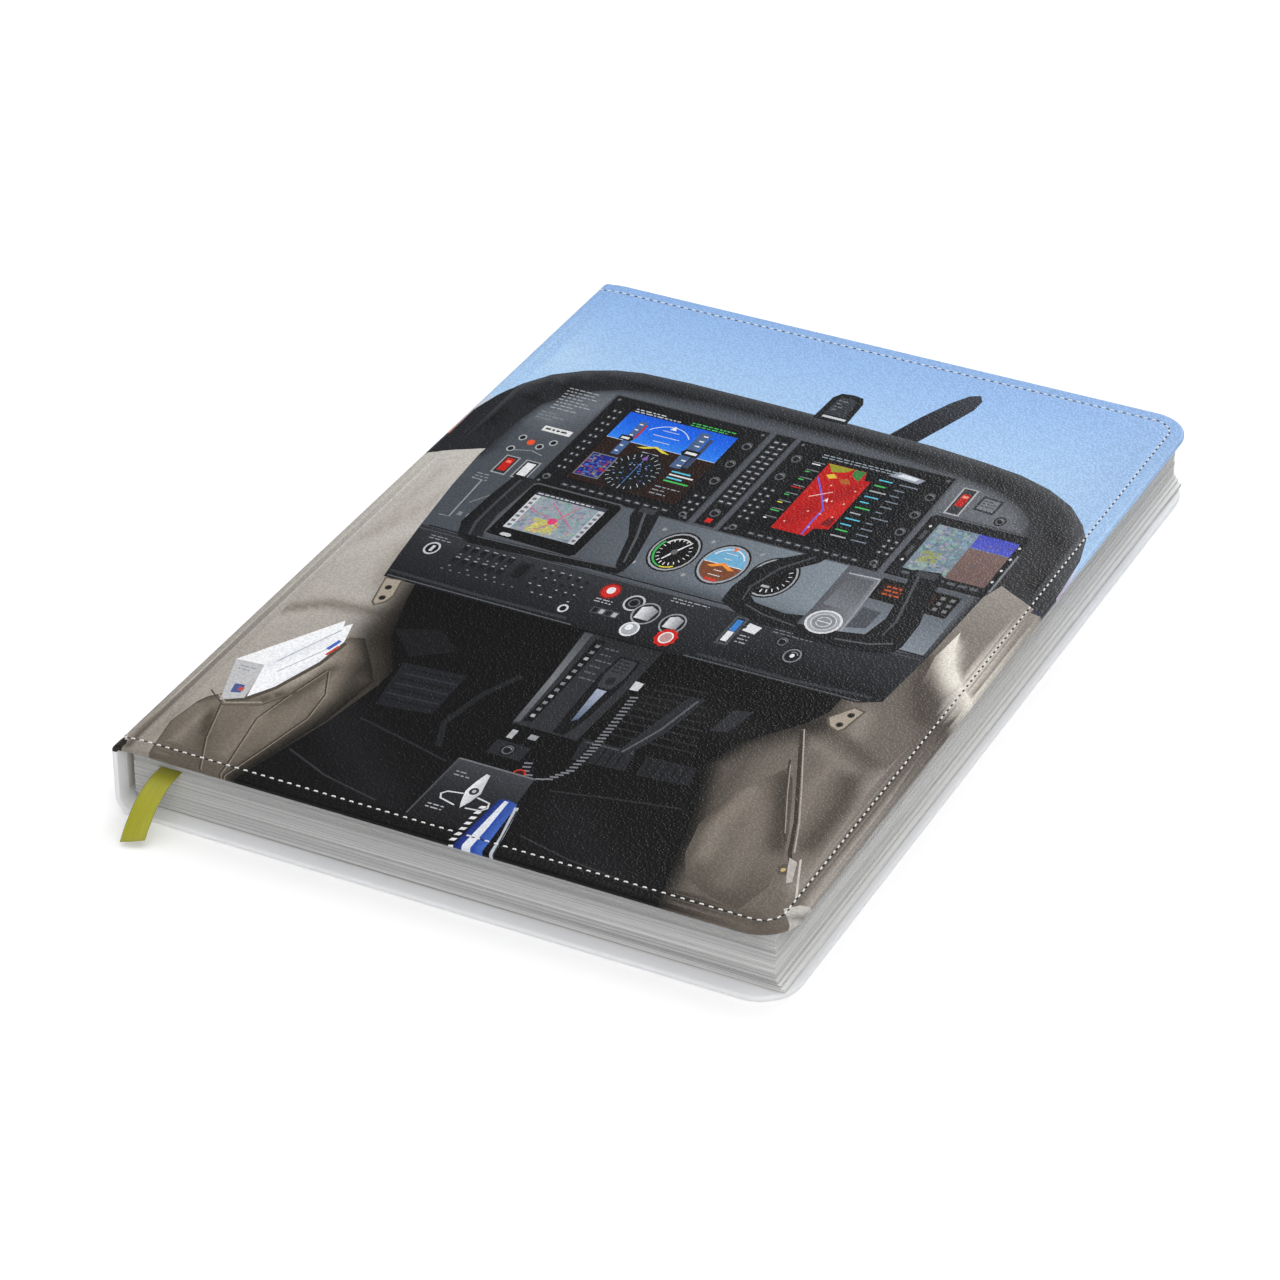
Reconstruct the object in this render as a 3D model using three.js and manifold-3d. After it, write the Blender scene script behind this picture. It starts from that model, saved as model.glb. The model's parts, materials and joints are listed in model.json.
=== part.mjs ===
// A casebound pilot's journal, closed and lying on its back cover: two leather-covered boards and a
// hollow spine around a sewn block of sixteen signatures, with a ribbon marker between two of them.
// Millimetres, +Z up. The origin is the middle of the closed book's footprint, on the surface that
// it lies on. +X runs from the spine to the fore-edge, and +Y from the tail to the head.
import * as THREE from 'three';
import { mergeVertices } from 'three/addons/utils/BufferGeometryUtils.js';
import Module from 'manifold-3d';

const wasm = await Module();
wasm.setup();

// ---------- driving dimensions ----------
const COVER_WIDTH = 148; // outer face of the spine to the fore-edge of a cover
const COVER_HEIGHT = 216.6; // tail to head
const BOOK_THICKNESS = 16.8;
const PAGE_HEIGHT = 210;
const SPINE_FOLDS = 3.0; // from the spine's outer face to the folds of the signatures
const PAGE_FORE_EDGE = 144.8; // from the spine's outer face to the pages' fore-edge
const GAP = 0.05; // between glued or stacked layers

// layers of one cover, measured from its outer face inwards
const LEATHER = 0.35; // cover material over the board
const BOARD_TOP = 1.05;
const TURN_IN_TOP = 1.25; // leather turned over the board's edges
const LINING_LOW = 1.1; // gauze glued to the board
const LINING_TOP = 1.25;
const PASTEDOWN_LOW = 1.3;
const WALL = 1.4; // whole cover, pastedown included
const PAPER = 0.1; // thickness of an endpaper leaf

const FORE_CORNER_RADIUS = 9; // covers, seen from above
const BACK_CORNER_RADIUS = 4; // spine to back cover, seen from the tail
const FRONT_CORNER_RADIUS = 2; // spine to front cover, seen from the tail
const EDGE_BEVEL = 0.3; // softened edges of the covers
const HINGE_STRIP = 4; // leather alone, between a cover's corner curve and its board
const TURN_IN_WIDTH = 15;
const BACK_SPLIT_DEG = 1; // half the slit between spine and cover on the corner's diagonal
const FRONT_SPLIT_DEG = 2;

const SIGNATURES = 16;
const FIRST_TURNING = 13; // the signatures from here up turn over with the front cover
const SIGNATURE_GAP = 0.06;
const RIBBON_GAP = 0.4; // the pages stand this far apart around the ribbon
const LOW_SIGNATURE_SHIFTS = [2.0, 1.2, 0.5]; // the lowest ones lean out at the fore-edge
const GAUZE = 0.2;
const GAUZE_CLEARANCE = 0.3; // from the folds to the gauze on the spine
const GAUZE_HALF_HEIGHT = 92;
const GAUZE_FLANGE_END = 28; // how far the gauze reaches onto a board

const SEAM_INSET = 3.5; // cover's edge to the line of stitches
const SEAM_CORNER_RADIUS = 5;
const SEAM_WIDTH = 0.45;
const SEAM_DEPTH = 0.18;
const SEAM_CHANNEL = 0.25; // depth of the channel that the stitches sink into
const SEAM_SIDE_GAP = 0.08;

const RIBBON_WIDTH = 5.5;
const RIBBON_THICKNESS = 0.25;
const ROUND = 8; // segments in a quarter-like curve

// ---------- derived places ----------
const halfHeight = COVER_HEIGHT / 2;
const halfPage = PAGE_HEIGHT / 2;
const blockLow = WALL + GAP + PAPER + GAP;
const blockHigh = BOOK_THICKNESS - blockLow;
const signatureThickness =
  (blockHigh - blockLow - RIBBON_GAP - SIGNATURE_GAP * (SIGNATURES - 2)) / SIGNATURES;
const ribbonZ = signatureBottom(FIRST_TURNING) - RIBBON_GAP / 2;

function signatureBottom(number) {
  const gaps = SIGNATURE_GAP * (number - 1);
  const ribbon = number >= FIRST_TURNING ? RIBBON_GAP - SIGNATURE_GAP : 0;
  return blockLow + (number - 1) * signatureThickness + gaps + ribbon;
}

function signatureShift(number) {
  return LOW_SIGNATURE_SHIFTS[number - 1] ?? 0;
}

// ---------- materials ----------
function finish(color, roughness, metalness = 0) {
  return new THREE.MeshStandardMaterial({ color, roughness, metalness });
}
const whiteLeather = finish(0xf2f2f4, 0.45);
const printedLeather = finish(0x4d5866, 0.42);
const greyBoard = finish(0x9a958c, 0.9);
const paper = finish(0xe6e6e4, 0.9);
const endpaper = finish(0xf0efec, 0.9);
const gauze = finish(0xe9e4d6, 0.95);
const thread = finish(0xf5f5f2, 0.7);
const satin = finish(0xa8a531, 0.5);

// ---------- solid helpers ----------
function toSolid(geometry) {
  const bare = geometry.clone();
  bare.deleteAttribute('normal');
  bare.deleteAttribute('uv');
  const merged = mergeVertices(bare, 1e-4);
  return new wasm.Manifold(new wasm.Mesh({
    numProp: 3,
    vertProperties: new Float32Array(merged.attributes.position.array),
    triVerts: new Uint32Array(merged.index.array),
  }));
}

function toGeometry(solid) {
  const mesh = solid.getMesh();
  const geometry = new THREE.BufferGeometry();
  geometry.setAttribute('position', new THREE.BufferAttribute(new Float32Array(mesh.vertProperties), 3));
  geometry.setIndex(new THREE.BufferAttribute(new Uint32Array(mesh.triVerts), 1));
  geometry.computeVertexNormals();
  return geometry;
}

// An outline seen from above, extruded upwards.
function slab(outline, low, high, bevel = 0) {
  const geometry = new THREE.ExtrudeGeometry(outline, {
    depth: high - low - 2 * bevel,
    bevelEnabled: bevel > 0,
    bevelThickness: bevel,
    bevelSize: bevel,
    bevelOffset: -bevel,
    bevelSegments: 2,
    curveSegments: ROUND,
  });
  return geometry.translate(0, 0, low + bevel);
}

// A profile seen from the tail, drawn in X and Z, extruded along Y.
function alongSpine(profile, tail, head) {
  const geometry = new THREE.ExtrudeGeometry(profile, {
    depth: head - tail,
    bevelEnabled: false,
    curveSegments: ROUND,
  });
  return geometry.rotateX(Math.PI / 2).translate(0, head, 0);
}

function box(x0, x1, y0, y1, z0, z1) {
  const geometry = new THREE.BoxGeometry(x1 - x0, y1 - y0, z1 - z0);
  return geometry.translate((x0 + x1) / 2, (y0 + y1) / 2, (z0 + z1) / 2);
}

// A plate's outline: square at the spine, round at both fore-edge corners.
function plate(spineX, foreX, half, radius) {
  const outline = new THREE.Shape();
  outline.moveTo(spineX, -half);
  outline.lineTo(foreX - radius, -half);
  outline.absarc(foreX - radius, -half + radius, radius, -Math.PI / 2, 0, false);
  outline.lineTo(foreX, half - radius);
  outline.absarc(foreX - radius, half - radius, radius, 0, Math.PI / 2, false);
  outline.lineTo(spineX, half);
  outline.closePath();
  return outline;
}

// Part of a round wall between two angles, seen from the tail.
function wallArc(centreX, centreZ, outer, fromDeg, toDeg) {
  const inner = outer - BOARD_TOP;
  const from = THREE.MathUtils.degToRad(fromDeg);
  const to = THREE.MathUtils.degToRad(toDeg);
  const profile = new THREE.Shape();
  profile.absarc(centreX, centreZ, outer, from, to, false);
  profile.absarc(centreX, centreZ, inner, to, from, true);
  profile.closePath();
  return profile;
}

// The U of the seam: tail edge, fore-edge and head edge, as a band of the given width.
function seamBand(width) {
  const mid = SEAM_INSET;
  const band = new THREE.Shape();
  const start = FRONT_CORNER_RADIUS;
  const trace = (offset, forwards) => {
    const fore = COVER_WIDTH - mid + offset;
    const half = halfHeight - mid + offset;
    const radius = SEAM_CORNER_RADIUS + offset;
    const cx = COVER_WIDTH - mid - SEAM_CORNER_RADIUS;
    const cy = halfHeight - mid - SEAM_CORNER_RADIUS;
    if (forwards) {
      band.moveTo(start, -half);
      band.lineTo(cx, -half);
      band.absarc(cx, -cy, radius, -Math.PI / 2, 0, false);
      band.lineTo(fore, cy);
      band.absarc(cx, cy, radius, 0, Math.PI / 2, false);
      band.lineTo(start, half);
    } else {
      band.lineTo(start, half);
      band.lineTo(cx, half);
      band.absarc(cx, cy, radius, Math.PI / 2, 0, true);
      band.lineTo(fore, -cy);
      band.absarc(cx, -cy, radius, 0, -Math.PI / 2, true);
      band.lineTo(start, -half);
    }
  };
  trace(width / 2, true);
  trace(-width / 2, false);
  band.closePath();
  return band;
}

// ---------- the parts of one cover, drawn with its outer face down at Z 0 ----------
function coverLeather(cornerRadius, splitDeg, boardStart) {
  const overlap = 0.4; // the slab runs this far into the corner curve
  const outer = toSolid(slab(
    plate(cornerRadius - overlap, COVER_WIDTH, halfHeight, FORE_CORNER_RADIUS),
    0, TURN_IN_TOP, EDGE_BEVEL));
  const inset = LEATHER + GAP;
  const pocket = toSolid(slab(
    plate(boardStart, COVER_WIDTH - LEATHER, halfHeight - LEATHER, FORE_CORNER_RADIUS - LEATHER),
    LEATHER, BOARD_TOP + GAP));
  const window = toSolid(box(
    -inset, COVER_WIDTH - TURN_IN_WIDTH,
    -halfHeight + TURN_IN_WIDTH, halfHeight - TURN_IN_WIDTH,
    BOARD_TOP, TURN_IN_TOP + 1));
  const corner = toSolid(alongSpine(
    wallArc(cornerRadius, cornerRadius, cornerRadius, 225 + splitDeg, 270), -halfHeight, halfHeight));
  return outer.subtract(pocket).subtract(window).add(corner);
}

function coverBoard(boardStart) {
  const inset = LEATHER + GAP;
  return slab(
    plate(boardStart + GAP, COVER_WIDTH - inset, halfHeight - inset, FORE_CORNER_RADIUS - inset),
    LEATHER + GAP, BOARD_TOP);
}

// ---------- the book ----------
const book = new THREE.Group();
book.position.x = -COVER_WIDTH / 2;

function add(parent, name, geometry, material) {
  const mesh = new THREE.Mesh(geometry, material);
  mesh.name = name;
  parent.add(mesh);
}

// back cover: leather, board, and the folded endpaper that joins it to the first signature
const backBoardStart = BACK_CORNER_RADIUS + HINGE_STRIP;
const backFoldX = SPINE_FOLDS + LOW_SIGNATURE_SHIFTS[0];
add(book, 'back_cover_skin',
  toGeometry(coverLeather(BACK_CORNER_RADIUS, BACK_SPLIT_DEG, backBoardStart)), whiteLeather);
add(book, 'back_board', coverBoard(backBoardStart), greyBoard);

function foldedEndpaper() {
  const low = PASTEDOWN_LOW;
  const high = WALL + GAP + PAPER;
  const profile = new THREE.Shape();
  profile.moveTo(backFoldX, low);
  profile.lineTo(PAGE_FORE_EDGE, low);
  profile.lineTo(PAGE_FORE_EDGE, low + PAPER);
  profile.lineTo(backFoldX + PAPER, low + PAPER);
  profile.lineTo(backFoldX + PAPER, high - PAPER);
  profile.lineTo(PAGE_FORE_EDGE, high - PAPER);
  profile.lineTo(PAGE_FORE_EDGE, high);
  profile.lineTo(backFoldX, high);
  profile.closePath();
  return alongSpine(profile, -halfPage, halfPage);
}
add(book, 'back_endpaper', foldedEndpaper(), endpaper);

// signatures: folded sections of eight leaves, round at the fold and square at the fore-edge
function signature(number) {
  const low = signatureBottom(number);
  const radius = signatureThickness / 2;
  const fold = SPINE_FOLDS + signatureShift(number);
  const fore = PAGE_FORE_EDGE + signatureShift(number);
  const profile = new THREE.Shape();
  profile.moveTo(fore, low);
  profile.lineTo(fore, low + signatureThickness);
  profile.absarc(fold + radius, low + radius, radius, Math.PI / 2, (3 * Math.PI) / 2, false);
  profile.closePath();
  return alongSpine(profile, -halfPage, halfPage);
}
for (let number = 1; number <= SIGNATURES; number += 1) {
  add(book, `signature_${String(number).padStart(2, '0')}`, signature(number), paper);
}

// gauze on the folds: the lower length follows the leaning signatures and turns out onto the board
function gauzeProfile(path) {
  const half = GAUZE / 2;
  const profile = new THREE.Shape();
  profile.moveTo(path[0][0] - half, path[0][1]);
  for (const [x, z] of path.slice(1)) profile.lineTo(x - half, z);
  for (const [x, z] of path.slice().reverse()) profile.lineTo(x + half, z);
  profile.closePath();
  return profile;
}
const gauzeX = SPINE_FOLDS - GAUZE_CLEARANCE - GAUZE / 2;
const lowerGauze = [1, 2, 3, 4].map((number) => [
  gauzeX + signatureShift(number), signatureBottom(number) + signatureThickness * 0.4,
]);
lowerGauze.push([gauzeX, signatureBottom(FIRST_TURNING - 1) + signatureThickness]);
const lowerStrip = toSolid(alongSpine(gauzeProfile(lowerGauze), -GAUZE_HALF_HEIGHT, GAUZE_HALF_HEIGHT));
const gauzeFootX = lowerGauze[0][0] - GAUZE / 2;
const gauzeFoot = toSolid(box(
  gauzeFootX, gauzeFootX + GAUZE,
  -GAUZE_HALF_HEIGHT, GAUZE_HALF_HEIGHT, LINING_LOW, lowerGauze[0][1] + GAUZE));
const gauzeFlange = toSolid(box(
  gauzeFootX, GAUZE_FLANGE_END, -GAUZE_HALF_HEIGHT, GAUZE_HALF_HEIGHT, LINING_LOW, LINING_TOP));
add(book, 'lower_gauze', toGeometry(lowerStrip.add(gauzeFoot).add(gauzeFlange)), gauze);

const upperGauzeLow = signatureBottom(FIRST_TURNING);
add(book, 'upper_gauze', box(
  gauzeX - GAUZE / 2, gauzeX + GAUZE / 2,
  -GAUZE_HALF_HEIGHT, GAUZE_HALF_HEIGHT, upperGauzeLow, blockHigh), gauze);

add(book, 'front_flyleaf', box(
  SPINE_FOLDS + PAPER, PAGE_FORE_EDGE, -halfPage, halfPage,
  blockHigh + GAP, blockHigh + GAP + PAPER), endpaper);

// spine: leather with a stiffening card and a paper lining, free of the pages' folds
function spineLeather() {
  const low = BACK_CORNER_RADIUS;
  const high = BOOK_THICKNESS - FRONT_CORNER_RADIUS;
  const back = toSolid(alongSpine(
    wallArc(low, low, BACK_CORNER_RADIUS, 180, 225 - BACK_SPLIT_DEG), -halfHeight, halfHeight));
  const front = toSolid(alongSpine(
    wallArc(FRONT_CORNER_RADIUS, high, FRONT_CORNER_RADIUS, 135 + FRONT_SPLIT_DEG, 180),
    -halfHeight, halfHeight));
  const wall = toSolid(box(0, TURN_IN_TOP, -halfHeight, halfHeight, low, high));
  const pocket = toSolid(box(
    LEATHER, BOARD_TOP + GAP, -halfHeight + LEATHER, halfHeight - LEATHER,
    low + GAP, high - GAP));
  const window = toSolid(box(
    BOARD_TOP, WALL, -halfHeight + TURN_IN_WIDTH, halfHeight - TURN_IN_WIDTH,
    low - GAP, high + GAP));
  return wall.subtract(pocket).subtract(window).add(back).add(front);
}
add(book, 'spine_skin', toGeometry(spineLeather()), whiteLeather);
add(book, 'spine_stiffener', box(
  LEATHER + GAP, BOARD_TOP,
  -halfHeight + LEATHER + GAP, halfHeight - LEATHER - GAP,
  BACK_CORNER_RADIUS + 2 * GAP, BOOK_THICKNESS - FRONT_CORNER_RADIUS - 2 * GAP), greyBoard);
add(book, 'spine_lining', box(
  PASTEDOWN_LOW, PASTEDOWN_LOW + PAPER, -halfPage, halfPage,
  BACK_CORNER_RADIUS, BOOK_THICKNESS - FRONT_CORNER_RADIUS), paper);

// front cover: the same layers upside down, with the seam sunk into the printed leather
const front = new THREE.Group();
front.rotation.x = Math.PI;
front.position.z = BOOK_THICKNESS;
book.add(front);

const frontBoardStart = FRONT_CORNER_RADIUS + HINGE_STRIP;
const seamChannel = toSolid(slab(seamBand(SEAM_WIDTH + 2 * SEAM_SIDE_GAP), -1, SEAM_CHANNEL));
add(front, 'front_cover_skin', toGeometry(
  coverLeather(FRONT_CORNER_RADIUS, FRONT_SPLIT_DEG, frontBoardStart).subtract(seamChannel)),
  printedLeather);
add(front, 'front_seam_thread',
  slab(seamBand(SEAM_WIDTH), SEAM_CHANNEL - GAP - SEAM_DEPTH, SEAM_CHANNEL - GAP), thread);
add(front, 'front_board', coverBoard(frontBoardStart), greyBoard);
add(front, 'front_gauze_flange', box(
  frontBoardStart, GAUZE_FLANGE_END, -GAUZE_HALF_HEIGHT, GAUZE_HALF_HEIGHT,
  LINING_LOW, LINING_TOP), gauze);
add(front, 'front_pastedown', box(
  SPINE_FOLDS + 2, PAGE_FORE_EDGE, -halfPage, halfPage,
  PASTEDOWN_LOW, PASTEDOWN_LOW + PAPER), endpaper);

// ribbon marker: glued at the head of the spine, between the signatures, and out over the tail
const tail = -halfHeight;
const ribbonRoute = [
  [5.5, tail + 211.5, ribbonZ],
  [6.0, tail + 195, ribbonZ],
  [6.8, tail + 170, ribbonZ],
  [7.6, tail + 145, ribbonZ],
  [8.4, tail + 120, ribbonZ],
  [9.2, tail + 95, ribbonZ],
  [10.0, tail + 70, ribbonZ],
  [10.8, tail + 45, ribbonZ],
  [11.4, tail + 25, ribbonZ],
  [11.7, tail + 12, ribbonZ],
  [11.8, tail + 5, ribbonZ],
  [11.7, tail + 2.2, ribbonZ - 0.12],
  [11.4, tail, ribbonZ - 0.6],
  [11.0, tail - 2.3, ribbonZ - 1.9],
  [10.5, tail - 4.5, ribbonZ - 3.8],
  [10.1, tail - 6.4, ribbonZ - 6.2],
  [9.7, tail - 8.1, ribbonZ - 8.9],
  [9.4, tail - 9.4, ribbonZ - 11.3],
].map((point) => new THREE.Vector3(...point));

function ribbon() {
  const section = new THREE.Shape();
  section.moveTo(-RIBBON_THICKNESS / 2, -RIBBON_WIDTH / 2);
  section.lineTo(RIBBON_THICKNESS / 2, -RIBBON_WIDTH / 2);
  section.lineTo(RIBBON_THICKNESS / 2, RIBBON_WIDTH / 2);
  section.lineTo(-RIBBON_THICKNESS / 2, RIBBON_WIDTH / 2);
  section.closePath();
  return new THREE.ExtrudeGeometry(section, {
    steps: 80,
    bevelEnabled: false,
    extrudePath: new THREE.CatmullRomCurve3(ribbonRoute),
  });
}
add(book, 'ribbon_marker', ribbon(), satin);

export default book;
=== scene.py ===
# A pilot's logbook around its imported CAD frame: printed and white leather, stitching, leaf-by-leaf
# pages, endpapers and a satin ribbon, in a white studio. Sizes are in "book millimetres": x from the
# spine's outer face, y from the tail edge, z from the table. The heights given to bump nodes, the
# camera's distance and the lights are in metres.
import json
import math
import random

import bpy
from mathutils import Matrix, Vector
from mathutils.geometry import delaunay_2d_cdt

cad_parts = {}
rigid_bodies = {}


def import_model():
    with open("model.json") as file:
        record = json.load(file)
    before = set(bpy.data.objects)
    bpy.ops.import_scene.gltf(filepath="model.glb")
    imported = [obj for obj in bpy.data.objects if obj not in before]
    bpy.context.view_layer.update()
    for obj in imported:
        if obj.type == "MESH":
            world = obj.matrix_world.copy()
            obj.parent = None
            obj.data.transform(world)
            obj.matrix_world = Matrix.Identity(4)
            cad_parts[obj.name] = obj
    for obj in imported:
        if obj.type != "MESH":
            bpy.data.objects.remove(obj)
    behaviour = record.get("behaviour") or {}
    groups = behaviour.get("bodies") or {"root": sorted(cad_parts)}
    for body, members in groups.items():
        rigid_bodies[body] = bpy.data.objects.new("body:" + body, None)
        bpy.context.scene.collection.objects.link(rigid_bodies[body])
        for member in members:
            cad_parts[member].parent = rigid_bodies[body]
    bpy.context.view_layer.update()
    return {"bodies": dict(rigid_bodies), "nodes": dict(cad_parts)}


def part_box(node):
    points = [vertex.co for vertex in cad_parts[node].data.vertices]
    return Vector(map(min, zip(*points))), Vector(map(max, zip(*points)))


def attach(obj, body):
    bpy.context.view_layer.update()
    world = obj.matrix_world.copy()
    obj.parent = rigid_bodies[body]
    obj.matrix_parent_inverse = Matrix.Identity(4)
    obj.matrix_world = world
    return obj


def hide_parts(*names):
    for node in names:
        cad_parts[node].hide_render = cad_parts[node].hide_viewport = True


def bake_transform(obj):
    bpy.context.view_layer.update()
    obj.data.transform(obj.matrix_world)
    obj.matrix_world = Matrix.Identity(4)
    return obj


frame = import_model()
nodes = frame["nodes"]
rng = random.Random(7)

MM = 0.001
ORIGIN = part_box("spine_skin")[0]  # the spine's outer face and the tail edge
SPINE_X, TAIL_Y = ORIGIN.x, ORIGIN.y
COVER_WIDTH = (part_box("front_cover_skin")[1].x - SPINE_X) / MM
COVER_HEIGHT = (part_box("front_cover_skin")[1].y - TAIL_Y) / MM
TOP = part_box("front_cover_skin")[1].z / MM
FORE_RADIUS = 9.0  # fore corners, seen from above
FRONT_CORNER = 2.0  # spine to front cover
BACK_CORNER = 4.0  # spine to back cover
EDGE_RADIUS = 0.5  # the cover's edge, outside
FOLD_RADIUS = 0.3  # the cover's edge, inside
FOLD_DEPTH = 1.25  # outer face to the turned-in leather's face
TURN_IN = 6.0  # how far the leather goes in under the board
CREASE = 4.8  # from the spine to the crease along the front board
CREASE_DROP = 0.3  # how far the leather sinks between the crease and the spine
DROP_FULL = 2.6  # from the spine to where it has sunk that far
GROOVE_DEPTH = 0.1  # of the crease itself
GROOVE_WIDTH = 0.35
SEAM_INSET = 3.5  # from the cover's edge to the line of stitches
SEAM_RADIUS = 5.0  # the line of stitches at the fore corners
SEAM_DIP = 0.09  # how far the leather sinks under the stitches
SEAM_SPREAD = 0.45  # how far to each side
STITCH_PITCH = 2.0


def row(x, y, z):
    """A point in book millimetres, in the row frame."""
    return Vector((SPINE_X + x * MM, TAIL_Y + y * MM, z * MM))


def smoothstep(low, high, value):
    t = min(1.0, max(0.0, (value - low) / (high - low)))
    return t * t * (3 - 2 * t)


# ---------- camera ----------
AZIMUTH = math.radians(26.55)
ELEVATION = math.radians(32.73)
DISTANCE = 0.94365
SENSOR = 36.0
FOCAL_SHARE = 3.567734375  # focal length over the frame's width
target = row(76.37, 82.98, 15.244)
back = Vector((
    math.sin(AZIMUTH) * math.cos(ELEVATION),
    -math.cos(AZIMUTH) * math.cos(ELEVATION),
    math.sin(ELEVATION),
))
camera = bpy.data.objects.new("camera", bpy.data.cameras.new("camera"))
bpy.context.collection.objects.link(camera)
camera.data.sensor_width = SENSOR
camera.data.lens = SENSOR * FOCAL_SHARE
camera.data.clip_start = 0.05
camera.data.clip_end = 20
camera.location = target + back * DISTANCE
camera.rotation_mode = "QUATERNION"
camera.rotation_quaternion = (-back).to_track_quat("-Z", "Y")
bpy.context.scene.camera = camera


# ---------- materials ----------
def linear(colour):
    """sRGB from 0 to 255 as linear light."""
    out = []
    for value in colour:
        v = value / 255
        out.append(v / 12.92 if v <= 0.04045 else ((v + 0.055) / 1.055) ** 2.4)
    return (*out, 1.0)


PER_MM = (1 / MM, 1 / MM, 1 / MM)  # a scale that makes texture coordinates millimetres


class Shader:
    """A material's node tree with a Principled shader, and short ways to add nodes to it."""

    def __init__(self, name, **sockets):
        self.material = bpy.data.materials.new(name)
        self.material.use_nodes = True
        self.tree = self.material.node_tree
        self.shader = self.tree.nodes["Principled BSDF"]
        for socket, value in sockets.items():
            self.shader.inputs[socket.replace("_", " ")].default_value = value

    def add(self, kind, _output=0, _inputs=(), **properties):
        """A new node's output. _inputs are pairs of a socket's name or number and a value or output."""
        node = self.tree.nodes.new(kind)
        for key, value in properties.items():
            setattr(node, key, value)
        for key, value in _inputs:
            self.plug(value, node.inputs[key])
        return node.outputs[_output]

    def plug(self, value, socket):
        if isinstance(value, bpy.types.NodeSocket):
            self.tree.links.new(value, socket)
        else:
            socket.default_value = value

    def to(self, socket, value):
        self.plug(value, self.shader.inputs[socket])

    def coordinates(self, scale, attribute=None):
        """Texture coordinates in units of 1/scale metres, from an attribute or the object's frame."""
        if attribute:
            source = self.add("ShaderNodeAttribute", "Vector", attribute_name=attribute)
        else:
            source = self.add("ShaderNodeTexCoord", "Object")
        return self.scaled(source, scale)

    def scaled(self, vector, scale):
        return self.add("ShaderNodeMapping", 0, [("Vector", vector), ("Scale", scale)])

    def moved(self, vector, by):
        return self.add("ShaderNodeVectorMath", 0, [(0, vector), (1, by)], operation="ADD")

    def parts(self, vector):
        """A vector's x, y and z outputs."""
        node = self.tree.nodes.new("ShaderNodeSeparateXYZ")
        self.plug(vector, node.inputs[0])
        return node.outputs

    def noise(self, vector, scale, detail=2.0, roughness=0.5):
        return self.add("ShaderNodeTexNoise", 0, [
            ("Vector", vector), ("Scale", scale), ("Detail", detail), ("Roughness", roughness),
        ])

    def math(self, operation, a, b=0.0):
        return self.add("ShaderNodeMath", 0, [(0, a), (1, b)], operation=operation)

    def between(self, value, low, high, to_low=0.0, to_high=1.0):
        return self.add("ShaderNodeMapRange", 0, [
            ("Value", value), ("From Min", low), ("From Max", high),
            ("To Min", to_low), ("To Max", to_high),
        ])

    def mix(self, share, a, b, blend_type="MIX"):
        node = self.tree.nodes.new("ShaderNodeMix")
        node.data_type = "RGBA"
        node.blend_type = blend_type
        self.plug(share, node.inputs[0])
        self.plug(a, node.inputs[6])
        self.plug(b, node.inputs[7])
        return node.outputs[2]

    def bump(self, height, strength, distance, normal=None):
        inputs = [("Height", height), ("Strength", strength), ("Distance", distance)]
        if normal is not None:
            inputs.append(("Normal", normal))
        return self.add("ShaderNodeBump", 0, inputs)


def leather_grain(shader, vector, strength):
    """Pebbles about 0.6 mm across with soft valleys, and fine pores on them."""
    bent = shader.moved(vector, shader.noise(vector, 0.5))
    cells = shader.add("ShaderNodeTexVoronoi", 0, [
        ("Vector", bent), ("Scale", 1.7), ("Smoothness", 0.5), ("Randomness", 1.0),
    ], feature="SMOOTH_F1")
    pebbles = shader.between(cells, 0.05, 0.62, 1.0, 0.0)
    pores = shader.noise(vector, 5.0, 3.0, 0.6)
    coarse = shader.bump(pebbles, strength, 0.00009)
    return pebbles, shader.bump(pores, strength * 0.5, 0.00003, coarse)


def printed_leather():
    shader = Shader("printed_leather", Specular_IOR_Level=0.11)
    vector = shader.coordinates(PER_MM, "flat")
    pebbles, normal = leather_grain(shader, vector, 0.95)
    picture = shader.add("ShaderNodeAttribute", "Color", attribute_name="picture")
    ink = shader.noise(vector, 2.4, 3.0, 0.6)
    shade = shader.between(ink, 0.3, 0.7, 0.96, 1.04)
    # Painted shade: the base colour darkens by up to 14% in the grain's valleys, on top of the ink's
    # random tone
    painted_valley_shade = shader.between(pebbles, 0.0, 0.3, 0.86, 1.0)
    tone = shader.math("MULTIPLY", shade, painted_valley_shade)
    grey = shader.add("ShaderNodeCombineColor", 0, [("Red", tone), ("Green", tone), ("Blue", tone)])
    shader.to("Base Color", shader.mix(1.0, picture, grey, "MULTIPLY"))
    shader.to("Roughness", shader.between(pebbles, 0.0, 1.0, 0.44, 0.3))
    shader.to("Normal", normal)
    return shader.material


def white_leather():
    shader = Shader("white_leather", Specular_IOR_Level=0.35)
    vector = shader.coordinates(PER_MM, "flat")
    pebbles, normal = leather_grain(shader, vector, 0.4)
    cloud = shader.noise(vector, 0.05, 3.0)
    shader.to("Base Color", shader.mix(cloud, linear((232, 233, 236)), linear((240, 240, 242))))
    shader.to("Roughness", shader.between(pebbles, 0.0, 1.0, 0.55, 0.4))
    shader.to("Normal", normal)
    return shader.material


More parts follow.
